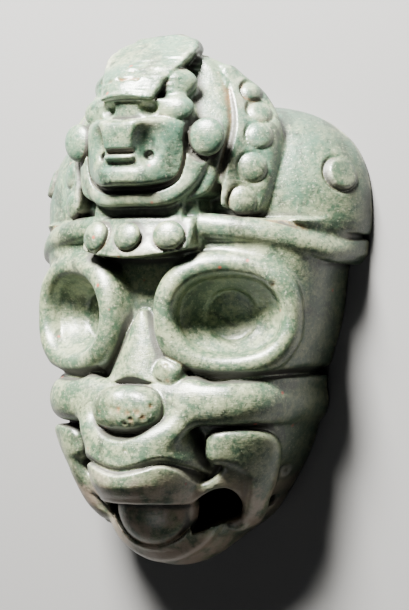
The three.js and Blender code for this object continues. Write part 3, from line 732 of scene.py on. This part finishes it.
def eyes(stone):
    out = (math.sin(EYE_TILT), 0, math.cos(EYE_TILT))
    local = local_of(EYE_AT, out)

    def ring(x, y, z):
        a, b, h = local(x, y, z)
        flat = section_distance(a, b, EYE_PATH, EYE_SQUARENESS)
        tube = (np.hypot(flat / EYE_RING_RADII[0], h / EYE_RING_RADII[1]) - 1) * EYE_RING_RADII[1]
        filling = smooth_max(flat - 1.0, smooth_max(h + 0.2, -EYE_RING_FOOT - h, 0.1), 0.5)
        wall = smooth_max(flat - EYE_RING_RADII[0] + 0.15, smooth_max(h, -EYE_RING_FOOT - h, 0.1), 0.3)
        return smooth_min(smooth_min(tube, filling, 0.8), wall, 0.3)
    stone.both(stone.add, ((0, -17, 5), (34, 13, 32)), ring, 0.7)

    def pit(x, y, z):
        a, b, h = local(x, y, z)
        floor_at = EYE_PIT_DISH * (a * a + b * b) - EYE_PIT_DEPTH
        return smooth_max(np.hypot(a, b) - EYE_PIT_RADIUS, floor_at - h, 0.9)
    cup_at = np.array(EYE_AT) + np.array(out) * EYE_CUP_LIFT
    stone.both(stone.cut, ((2, -13, 8), (31, 9, 32)), lump(cup_at, EYE_CUP_RADII, out), 4.2)
    stone.both(stone.cut, ((2, -12, 8), (31, 8, 32)), pit, 0.5)


def nose(stone):
    def wedge(x, y, z):
        share = np.clip((NOSE_TOP_Y - y) / NOSE_LENGTH, -0.1, 1.1)
        half = NOSE_HALF_WIDTH + NOSE_WIDENING * np.maximum(share, 0) ** NOSE_FLARE
        ridge = NOSE_RIDGE_DEPTH + NOSE_RIDGE_RISE * share
        foot = NOSE_FOOT_DEPTH - NOSE_FOOT_FALL * share
        top = ridge - (ridge - foot) * np.minimum(1.6, np.abs(x) / half) ** NOSE_ROUNDNESS
        return smooth_max(smooth_max((z - top) * 0.75, (np.abs(x) - half) * 0.9, 1.6),
                          smooth_max(NOSE_ENDS[0] - y, y - NOSE_ENDS[1], 1.2), 0.5)
    stone.add(((-10, -17, 18), (10, 1, 30)), wedge, 0.6)

    def lump_beside(x, y, z):
        dx, dy, dz = (c - at for c, at in zip((x, y, z), NOSE_LUMP_AT))
        cos, sin = NOSE_LUMP_TURN
        parts = [dx * cos - dy * sin, dx * sin + dy * cos, dz]
        size = sum(np.abs(part / r) ** 3 for part, r in zip(parts, NOSE_LUMP_RADII)) ** (1 / 3) + 1e-4
        return (size - 1) * min(NOSE_LUMP_RADII)
    stone.add(box_of([NOSE_LUMP_AT], 5), lump_beside, 0.3)


def cheeks(stone):
    def groove(x, y, z):
        over = section_distance(x, z, CHEEK_GROOVE_PATH, CHEEK_SQUARENESS)
        line = CHEEK_GROOVE_Y + CHEEK_GROOVE_RISE * ((x - CHEEK_GROOVE_X) / 10) ** 2
        return np.hypot(over / CHEEK_GROOVE_RADII[0], (y - line) / CHEEK_GROOVE_RADII[1]) - 1
    bar = belt(CHEEK_PATH, CHEEK_SQUARENESS, CHEEK_RADII, lambda x: CHEEK_Y)
    stone.add(((-31, -27, -1), (31, -12, 32)), bar, 0.7)
    stone.both(stone.cut, ((9, -18, 0), (34, -10, 32)), groove, 1.0)
    stone.both(stone.cut, box_of(TROUGH, 9), roll(TROUGH, TROUGH_HALF_WIDTH, TROUGH_DEPTH), 2.2)


def muzzle(stone):
    def upper_lip(x, y, z):
        share = np.minimum(1.3, np.abs(x / LIP_HALF_WIDTH))
        edge = LIP_EDGE_Y + LIP_EDGE_RISE * share ** 6
        below = (edge - y) * 0.9 - LIP_UNDERCUT * (LIP_DEPTH - z)
        return smooth_max(block(MUZZLE)(x, y, z), below, 0.6)
    stone.add(((-19, -42, 5), (19, -11, 34.4)), upper_lip, 0.7)
    scroll = mirrored(SCROLL)
    stone.add(box_of(scroll, 4), roll(scroll, SCROLL_HALF_WIDTH, SCROLL_THICK, 44), 1.8)
    stone.cut(((-10, -29, 22), (10, -12, 34.4)), lump(*RECESS), 0.5)

    def snout(x, y, z):
        p = SNOUT_SQUARENESS
        parts = [np.abs((c - at) / r) for c, at, r in zip((x, y, z), SNOUT_AT, SNOUT_RADII)]
        return (sum(part ** p for part in parts) + 1e-6) ** (1 / p)
    stone.add(box_of([SNOUT_AT], 9), domed(snout), 0.2)
    line = table_of(line_distance, eased(mirrored(MOUTH_LINE), 40), (-18, -42), (18, -24))
    lip = mirrored(MOUTH_LINE) + [(17, -45), (-17, -45)]
    off_lip = table_of(outline_distance, lip, (-18, -42), (18, -24))

    def groove(x, y, z):
        far = line(x, y)
        reach_above, reach_below = MOUTH_LINE_REACH
        cut = np.where(off_lip(x, y) > 0, ease(1 - far / reach_above) ** 1.5, ease(1 - far / reach_below))
        return -MOUTH_LINE_DEPTH * cut * ease((z - MOUTH_LINE_BACK) / 3)
    stone.lift(((-18, -42, 10), (18, -25, 34.4)), groove)


def hooks(stone):
    hook = table_of(outline_distance, looped(HOOK_OUTLINE), (-6, -46), (18, -18))
    stone.both(stone.add, ((6, -45, 2), (30, -20, 30)), lifted(hook, 0, 1.6), 0.6)


def mouth(stone):
    hole = table_of(outline_distance, looped(MOUTH_HOLE), (-9, -47), (13, -28))
    band = table_of(outline_distance, looped(CORNER_BAND), (-9, -47), (13, -24))
    stone.both(stone.add, ((6, -45, 2), (28, -27, 30)), lifted(band, CORNER_BAND_DROP, 1.2), 0.9)

    def opening(side, less):
        def shape(x, y, z):
            front = CORNER_OUT[0] * side * x + CORNER_OUT[2] * z
            return np.maximum(hole(corner_u(side * x, z), y) + less, -front)
        return shape

    def gape(x, y, z):
        return smooth_max(lump(*GAPE)(x, y, z), y - LIP_EDGE_Y + 0.3, 0.4)
    stone.cut(((-12, -47, 12), (12, -34, 34.4)), gape, 0.6)
    lower_lip = mirrored(LOWER_LIP)
    stone.add(box_of(lower_lip, 4.5), roll(lower_lip, LOWER_LIP_HALF_WIDTH, LOWER_LIP_THICK, 40), 1.4)
    stone.cut(((-2, -45, -1), (24, -30, 34.4)), opening(1, 0), 0.5)
    stone.cut(((-24, -45, -1), (2, -30, 34.4)), opening(-1, FAR_HOLE_LESS), 0.5)
    far_leg = roll(FAR_LEG, FAR_LEG_HALF_WIDTH, FAR_LEG_THICK, 40, FAR_LEG_OUT)
    stone.add(box_of(FAR_LEG, 5), far_leg, 1.0)
    stone.add(box_of([TONGUE[0]], 9), lump(*TONGUE), 0.2)
    stone.lumps(stone.add, LIP_BUMP, 4, 0.5)


def back(stone):
    stone.cut(((-30, -46, -1), (30, 34, 18)), block(HOLLOW), 0.8)
    x, y, z = CORD_HOLE_AT
    ends = [(x - CORD_HOLE_HALF_LENGTH, y, z), (x + CORD_HOLE_HALF_LENGTH, y, z)]
    cord_hole = roll(ends, CORD_HOLE_RADIUS, CORD_HOLE_RADIUS, 3, (0, 0, 1))
    stone.both(stone.cut, ((7, -41, 0), (24, -34, 10)), cord_hole, 0.5)
    stone.lumps(stone.cut, NOTCH, 4, 0.8)
    stone.cut(WHOLE, plane((0, 0, 0), (0, 0, 1)), 0.25)


def carve():
    stone = Stone()
    for work in (head, cap_discs, ornament, strips, small_face, collar, visor, crest, eyes, cheeks, nose,
                 muzzle, hooks, mouth, back):
        work(stone)
    return stone


# Mesh of the stone
TRIANGLES = 188000
MM = 0.001
HOLLOW_REACHES, RIDGE_REACHES = (0.8, 1.8, 3.6), (0.7, 1.6)

# Wear: height, size and seed of each unevenness; the crack in the crest; the strewn pits, each with its
# place, spread, count, size, depth and seed
UNEVENNESS = [(0.16, 8.5, 1), (0.07, 3.2, 2), (0.025, 1.3, 3)]
STREAKS = [(1, (0.22, 1.8, 0.8), 1.1, 4), (0.6, (0.3, 2.4, 1), 0.9, 5)]
STREAK_HEIGHT, CREST_LUMPS, SNOUT_LUMPS = 0.15, (0.14, 2.1, 6), (0.16, 1.7, 7)
CRACK_Y, CRACK_WAVE, CRACK_WIDTH, CRACK_DEPTH = 40.6, 0.12, 0.28, 0.45
PITS = [
    ((3.2, -20.9, 31.6), (3.4, 1.5, 1.2), 26, 0.55, 0.55, 11),
    ((-1.5, -19.5, 32), (3.5, 2, 1), 14, 0.45, 0.3, 12),
    ((6.9, -13.2, 27), (1.6, 1.4, 1), 10, 0.45, 0.3, 13),
    ((0, 43.5, 26.5), (5, 4.5, 4), 40, 0.5, 0.32, 14),
    ((24.6, 3.2, 18.6), (1, 1, 1), 3, 0.6, 0.5, 15),
    ((2.4, -27.6, 31.4), (2, 1, 1), 6, 0.4, 0.3, 16),
    ((15.9, -41, 10), (4, 3, 3), 12, 0.45, 0.25, 17),
    ((13, -7, 25), (7, 3, 2), 16, 0.4, 0.22, 18),
]


def near_field(stone, points):
    """Value of the field between its grid points."""
    return read_table(stone.field, [(points[:, k] - stone.axes[k][0]) / STEP for k in range(3)])


def slope(stone, points, reach=0.3):
    """Unit direction out of the stone at each point, and how fast the field grows along it."""
    steps = np.eye(3) * reach
    grad = np.stack([near_field(stone, points + s) - near_field(stone, points - s) for s in steps], 1)
    grad /= 2 * reach
    size = np.linalg.norm(grad, axis=1)[:, None] + 1e-6
    return grad / size, size


def settle(stone, points, rounds=3):
    """Moves points onto the carved surface."""
    for _ in range(rounds):
        out, size = slope(stone, points)
        move = near_field(stone, points)[:, None] / np.maximum(size, 0.4)
        points = points - out * np.clip(move, -STEP, STEP)
    return points


def surface(stone):
    """Points and four-sided faces of the carved surface, facing out."""
    field = stone.field
    inside = field < 0
    cells, places, quads = [], [], []
    for axis in range(3):
        head_cut = tuple(slice(None, -1) if k == axis else slice(None) for k in range(3))
        tail_cut = tuple(slice(1, None) if k == axis else slice(None) for k in range(3))
        edge = np.argwhere(inside[head_cut] != inside[tail_cut])
        a = field[head_cut][tuple(edge.T)]
        b = field[tail_cut][tuple(edge.T)]
        place = edge.astype(float)
        place[:, axis] += a / (a - b)
        b_step = np.eye(3, dtype=int)[(axis + 1) % 3]
        c_step = np.eye(3, dtype=int)[(axis + 2) % 3]
        around = [edge, edge - b_step, edge - b_step - c_step, edge - c_step]
        flat = [np.ravel_multi_index(cell.T, field.shape) for cell in around]
        cells += flat
        places += [place] * 4
        quad = np.stack(flat, 1)
        quads.append(np.where((a < 0)[:, None], quad, quad[:, ::-1]))
    used, number = np.unique(np.concatenate(cells), return_inverse=True)
    count = np.bincount(number)
    places = np.concatenate(places)
    points = np.stack([np.bincount(number, places[:, k]) / count for k in range(3)], 1)
    points = points * STEP + [axis[0] for axis in stone.axes]
    return points, np.searchsorted(used, np.concatenate(quads))


def largest(points, faces):
    """The biggest connected piece of a mesh."""
    label = np.arange(len(points))
    while True:
        low = label[faces].min(1)
        fresh = label.copy()
        for k in range(faces.shape[1]):
            np.minimum.at(fresh, faces[:, k], low)
        fresh = fresh[fresh]
        if np.array_equal(fresh, label):
            break
        label = fresh
    main = np.bincount(label).argmax()
    keep = label == main
    number = np.cumsum(keep) - 1
    return points[keep], number[faces[keep[faces[:, 0]]]]


def new_object(name, data):
    made = bpy.data.objects.new(name, data)
    bpy.context.scene.collection.objects.link(made)
    return made


def mesh_object(name, points, faces):
    mesh = bpy.data.meshes.new(name)
    mesh.from_pydata(points.tolist(), [], faces.tolist())
    return new_object(name, mesh)


def thinned(piece, triangles):
    """Applies a collapse down to a number of triangles."""
    now = sum(len(face.vertices) - 2 for face in piece.data.polygons)
    modifier = piece.modifiers.new("thin", "DECIMATE")
    modifier.ratio = min(1, triangles / now)
    modifier.use_collapse_triangulate = True
    graph = bpy.context.evaluated_depsgraph_get()
    mesh = bpy.data.meshes.new_from_object(piece.evaluated_get(graph))
    piece.modifiers.remove(modifier)
    piece.data = mesh


def points_of(piece):
    flat = np.empty(len(piece.data.vertices) * 3, np.float32)
    piece.data.vertices.foreach_get("co", flat)
    return flat.reshape(-1, 3).astype(float)


def give(piece, name, values):
    layer = piece.data.attributes.new(name, "FLOAT", "POINT")
    layer.data.foreach_set("value", values.astype(np.float32))


def wander(points, size, seed):
    """Smooth random height between -1 and 1, the same on every run, that changes over a size in mm."""
    at = (points - np.array(FIELD_LOW)) / size + 1
    count = np.ceil(at.max(0)).astype(int) + 2
    table = np.random.default_rng(seed).uniform(-1, 1, tuple(count))
    low = np.floor(at).astype(int)
    return between(table, low.T, ease(at - low).T)


def pitted(points, at, spread, count, size, depth, seed):
    """Depth of small pits strewn about a place."""
    rng = np.random.default_rng(seed)
    total = np.zeros(len(points))
    near = np.nonzero((np.abs(points - at) < np.array(spread) * 2.2 + size * 3).all(1))[0]
    for _ in range(count):
        middle = at + rng.normal(0, 0.6, 3) * spread
        radius = size * rng.uniform(0.6, 1.3)
        far = ((points[near] - middle) ** 2).sum(1) / radius ** 2
        total[near] = np.maximum(total[near], depth * rng.uniform(0.5, 1) * np.exp(-far * 1.6))
    return total


def wear(points):
    """Height in mm of the hand-carved unevenness, chips and scratches, and the depth of the stained pits."""
    x, y, z = points.T

    def uneven(height, size, seed):
        return height * wander(points, size, seed)
    height = sum(uneven(*layer) for layer in UNEVENNESS)
    on_crest = ease((y - CREST_FOOT_END_Y + 0.1) / 1.5) * ease((z - 13) / 3) * ease((10.5 - np.abs(x)) / 2)
    streaks = sum(share * wander(points * squeeze, size, seed) for share, squeeze, size, seed in STREAKS)
    height += on_crest * (STREAK_HEIGHT * streaks + uneven(*CREST_LUMPS))
    off_crack = (y - CRACK_Y - CRACK_WAVE * np.sin(x * 1.9)) / CRACK_WIDTH
    crack = np.exp(-off_crack ** 2) * ease((2.9 - np.abs(x - 0.2)) / 0.8)
    on_snout = ease(1.15 - ((x / 8) ** 2 + ((y - SNOUT_AT[1]) / 5) ** 2)) * ease((z - 27.5) / 2)
    height += on_snout * uneven(*SNOUT_LUMPS)
    sunk = CRACK_DEPTH * crack * on_crest
    for place in PITS:
        sunk = np.maximum(sunk, pitted(points, *place))
    return height - sunk, sunk


def growth(stone, points, step):
    """How much the field grows over a step away from the surface, 1 where the stone is flat."""
    out, size = slope(stone, points)
    reach = abs(step)
    change = near_field(stone, points + out * step) - near_field(stone, points)
    return change * np.sign(step) / reach / size[:, 0]


def carved_mask():
    stone = carve()
    points, faces = largest(*surface(stone))
    points = settle(stone, points)
    points += slope(stone, points, 0.5)[0] * wear(points)[0][:, None]
    piece = mesh_object("carved_mask", points, faces)
    thinned(piece, TRIANGLES)
    points = points_of(piece)
    ahead = [growth(stone, points, reach) for reach in HOLLOW_REACHES]
    behind = [growth(stone, points, -reach) for reach in RIDGE_REACHES]
    # How far each point lies in a hollow: the jade paints shade, partly dirt, there
    give(piece, "hollow", 1 - np.clip(sum(ahead) / len(ahead), 0, 1))
    give(piece, "chipped", np.clip(wear(points)[1] / 0.4, 0, 1))
    give(piece, "groove", 1 - np.clip(ahead[0], 0, 1))
    # How sharply each point stands out: the jade paints a highlight, partly worn paler edges, there
    give(piece, "ridge", 1 - np.clip(sum(behind) / len(behind), 0, 1))
    low, high = (np.array(corner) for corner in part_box("mask"))
    places = np.clip(points * MM, low, high)
    piece.data.vertices.foreach_set("co", places.astype(np.float32).ravel())
    piece.data.shade_smooth()
    piece.data.update()
    return piece


# Jade
GREEN = (0.038, 0.072, 0.041)
DEEP_GREEN = (0.011, 0.021, 0.013)
TURQUOISE = (0.045, 0.112, 0.078)
CREAM = (0.175, 0.198, 0.115)
WHITE = (0.43, 0.43, 0.31)
PINK_BROWN = (0.34, 0.26, 0.2)
RUST = (0.16, 0.075, 0.025)
# Painted shade, partly dirt, laid in hollows and creases
HOLLOW_SHADE_AND_DIRT = (0.012, 0.014, 0.008)
RED = (0.26, 0.04, 0.02)


class Recipe:
    """Short ways to add nodes to a material and join them."""

    def __init__(self, material):
        material.use_nodes = True
        self.tree = material.node_tree
        self.shader = self.tree.nodes["Principled BSDF"]
        self.place = self.node("TexCoord").outputs["Object"]

    def join(self, value, socket):
        if isinstance(value, bpy.types.NodeSocket):
            self.tree.links.new(value, socket)
        elif isinstance(value, tuple) and len(value) == 3 and socket.type == "RGBA":
            socket.default_value = (*value, 1)
        else:
            socket.default_value = value

    def node(self, kind, **inputs):
        """New node with its inputs set or joined, their names written with underscores for spaces."""
        made = self.tree.nodes.new("ShaderNode" + kind)
        for name, value in inputs.items():
            self.join(value, made.inputs[name.replace("_", " ")])
        return made

    def math(self, operation, first, second):
        made = self.node("Math")
        made.operation = operation
        for value, socket in zip((first, second), made.inputs):
            self.join(value, socket)
        return made.outputs[0]

    def add(self, first, second):
        return self.math("ADD", first, second)

    def times(self, first, second):
        return self.math("MULTIPLY", first, second)

    def placed(self, size, stretch=(1, 1, 1), offset=(0, 0, 0)):
        """Object coordinates in steps of a size in mm."""
        scale = [1 / (size * MM * s) for s in stretch]
        return self.node("Mapping", Vector=self.place, Scale=scale, Location=offset).outputs["Vector"]

    def noise(self, size, detail, roughness, stretch=(1, 1, 1), offset=(0, 0, 0), distortion=0.0):
        """Noise whose patches are about a size in mm across."""
        place = self.placed(size, stretch, offset)
        made = self.node("TexNoise", Vector=place, Scale=1, Detail=detail, Roughness=roughness,
                         Distortion=distortion)
        return made.outputs["Fac"]

    def specks(self, size, reach):
        """Dots strewn at about a size in mm apart: 1 in a dot, 0 away from it."""
        made = self.node("TexVoronoi", Vector=self.placed(size), Scale=1)
        return self.ramp(made.outputs["Distance"], reach, reach * 0.4)

    def ramp(self, value, start, end):
        """0 at the start value and 1 at the end value, eased between."""
        low, high = sorted((start, end))
        at_low, at_high = (0.0, 1.0) if start < end else (1.0, 0.0)
        made = self.node("MapRange", Value=value, From_Min=low, From_Max=high, To_Min=at_low,
                         To_Max=at_high)
        made.interpolation_type = "SMOOTHSTEP"
        return made.outputs["Result"]

    def mix(self, share, first, second):
        """First colour, going over to the second where the share is 1."""
        made = self.node("Mix")
        made.data_type = "RGBA"
        self.join(share, made.inputs[0])
        self.join(first, made.inputs[6])
        self.join(second, made.inputs[7])
        return made.outputs[2]

    def carried(self, name):
        """Value that the mesh carries at each point."""
        made = self.node("Attribute")
        made.attribute_name = name
        return made.outputs["Fac"]

    def axis(self, which):
        """One of the object coordinates in mm."""
        return self.times(self.node("SeparateXYZ", Vector=self.place).outputs[which], 1 / MM)


def jade_colour(r, grain, stain, flecks, sunk):
    """Green stone with layers of other colours over it, each with its share and strength; among them painted
    shade in hollows and towards the back, and painted highlight along ridges.
    """
    height = r.axis("Y")
    patches = r.ramp(r.noise(12, 4, 0.6, distortion=0.4), 0.35, 0.6)
    clouds = r.noise(4.2, 6, 0.68, offset=(3, 1, 7), distortion=0.3)
    mottle = r.add(r.times(clouds, 0.6), r.times(grain, 0.4))
    veins = r.ramp(r.noise(5.5, 5, 0.65, offset=(9, 4, 2), distortion=0.8), 0.47, 0.36)
    specks = r.ramp(r.noise(0.8, 4, 0.8, offset=(4, 8, 9), distortion=0.4), 0.44, 0.33)
    drifts = r.ramp(r.noise(5, 5, 0.65, offset=(2, 6, 6)), 0.38, 0.6)
    # Painted shade: darker towards the back, on the sides turned from the light
    shade_towards_back = r.ramp(r.add(r.axis("Z"), r.times(stain, 8)), 17, 7)
    layers = [
        (r.ramp(mottle, 0.42, 0.60), 1, CREAM),
        (r.times(r.ramp(height, 8, 24), patches), 0.65, TURQUOISE),
        (veins, 0.7, DEEP_GREEN),
        (flecks, 0.45, WHITE),
        (specks, 0.8, DEEP_GREEN),
        (r.times(r.ramp(height, -28, -38), drifts), 0.85, PINK_BROWN),
        (r.times(r.ramp(r.carried("groove"), 0.12, 0.6), r.ramp(stain, 0.3, 0.6)), 0.8, RUST),
        (r.times(r.carried("chipped"), r.ramp(grain, 0.3, 0.6)), 1, RUST),
        # Painted shade in hollows and creases, partly dirt
        (sunk, 0.94, HOLLOW_SHADE_AND_DIRT),
        # Painted shade towards the back
        (shade_towards_back, 0.5, DEEP_GREEN),
        (r.specks(5.5, 0.09), 0.8, RED),
        # Whiter along ridges and edges: painted highlight, partly worn paler edges
        (r.times(r.ramp(r.carried("ridge"), 0.15, 0.5), r.ramp(clouds, 0.35, 0.7)), 0.5, WHITE),
    ]
    colour = GREEN
    for share, strength, layer in layers:
        colour = r.mix(r.times(share, strength), colour, layer)
    return colour


def jade_relief(r, grain, flecks):
    """Fine grain, scratches and flecks, as a bump."""
    scratches = r.noise(0.5, 2, 0.5, stretch=(6, 0.5, 2), offset=(3, 3, 8))
    relief = r.add(r.times(grain, 0.6), r.times(scratches, 0.25))
    relief = r.math("SUBTRACT", relief, r.times(flecks, 0.15))
    return r.node("Bump", Strength=0.85, Distance=0.14 * MM, Height=relief).outputs["Normal"]


def jade():
    material = bpy.data.materials.new("jade")
    r = Recipe(material)
    grain = r.noise(0.85, 4, 0.7, offset=(5, 2, 1))
    stain = r.noise(2.6, 6, 0.72, offset=(7, 7, 1), distortion=0.5)
    flecks = r.ramp(r.noise(0.6, 3, 0.75, offset=(1, 8, 3)), 0.55, 0.72)
    uneven = r.times(r.math("SUBTRACT", stain, 0.5), 0.3)
    # Mask of hollows and creases for painted shade, partly dirt
    sunk = r.ramp(r.add(r.carried("hollow"), uneven), 0.22, 0.56)
    settings = {
        "Base Color": jade_colour(r, grain, stain, flecks, sunk),
        "Roughness": r.add(r.add(0.26, r.times(grain, 0.22)), r.times(sunk, 0.3)),
        "IOR": 1.66,
        "Coat Weight": 0.15,
        "Coat Roughness": 0.36,
        "Normal": jade_relief(r, grain, flecks),
    }
    for name, value in settings.items():
        r.join(value, r.shader.inputs[name])
    return material


# Floor, lights and camera
FLOOR_HALF_WIDTH, FLOOR_GREY = 1.5, 0.15
TURN = math.radians(32)
RIGHT = Vector((math.cos(TURN), 0, -math.sin(TURN)))
BACK = Vector((math.sin(TURN), 0, math.cos(TURN)))
UP = Vector((0, 1, 0))
AIM = (RIGHT * -1.03 + UP * -0.75 + BACK * 13.6) * MM
LENS, SENSOR_WIDTH = 130, 36
CAMERA_DISTANCE = 0.4141
DAYLIGHT, SKY, SKY_STRENGTH = (1, 0.98, 0.93), (0.9, 0.95, 1, 1), 0.015


def floor():
    side = FLOOR_HALF_WIDTH
    points = np.array([(-side, -side, 0), (side, -side, 0), (side, side, 0), (-side, side, 0)])
    piece = mesh_object("floor", points, np.array([[0, 1, 2, 3]]))
    material = bpy.data.materials.new("floor")
    material.use_nodes = True
    shader = material.node_tree.nodes["Principled BSDF"]
    shader.inputs["Base Color"].default_value = (FLOOR_GREY, FLOOR_GREY, FLOOR_GREY, 1)
    shader.inputs["Roughness"].default_value = 0.8
    piece.data.materials.append(material)


def camera():
    data = bpy.data.cameras.new("camera")
    data.lens = LENS
    data.sensor_width = SENSOR_WIDTH
    data.clip_start = 0.01
    eye = new_object("camera", data)
    eye.location = AIM + BACK * CAMERA_DISTANCE
    eye.rotation_euler = Matrix((RIGHT, UP, BACK)).transposed().to_euler()
    bpy.context.scene.camera = eye


def lamp(name, toward, distance, size, power, colour=(1, 1, 1)):
    """Soft square light, set off from the mask in a direction given as right, up and back of the camera."""
    data = bpy.data.lights.new(name, "AREA")
    data.size = size
    data.energy = power
    data.color = colour
    light = new_object(name, data)
    way = (RIGHT * toward[0] + UP * toward[1] + BACK * toward[2]).normalized()
    light.location = AIM + way * distance
    light.rotation_euler = way.to_track_quat("Z", "Y").to_euler()


def lights():
    lamp("key", (-0.43, 0.79, 0.4), 0.42, 0.13, 27, DAYLIGHT)
    lamp("fill", (-0.5, -0.5, 0.7), 0.7, 0.3, 0.5)
    world = bpy.data.worlds.new("world")
    world.use_nodes = True
    background = world.node_tree.nodes["Background"]
    background.inputs["Color"].default_value = SKY
    background.inputs["Strength"].default_value = SKY_STRENGTH
    bpy.context.scene.world = world


camera()
lights()
floor()
mask = carved_mask()
mask.data.materials.append(jade())
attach(mask, "root")
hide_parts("mask")
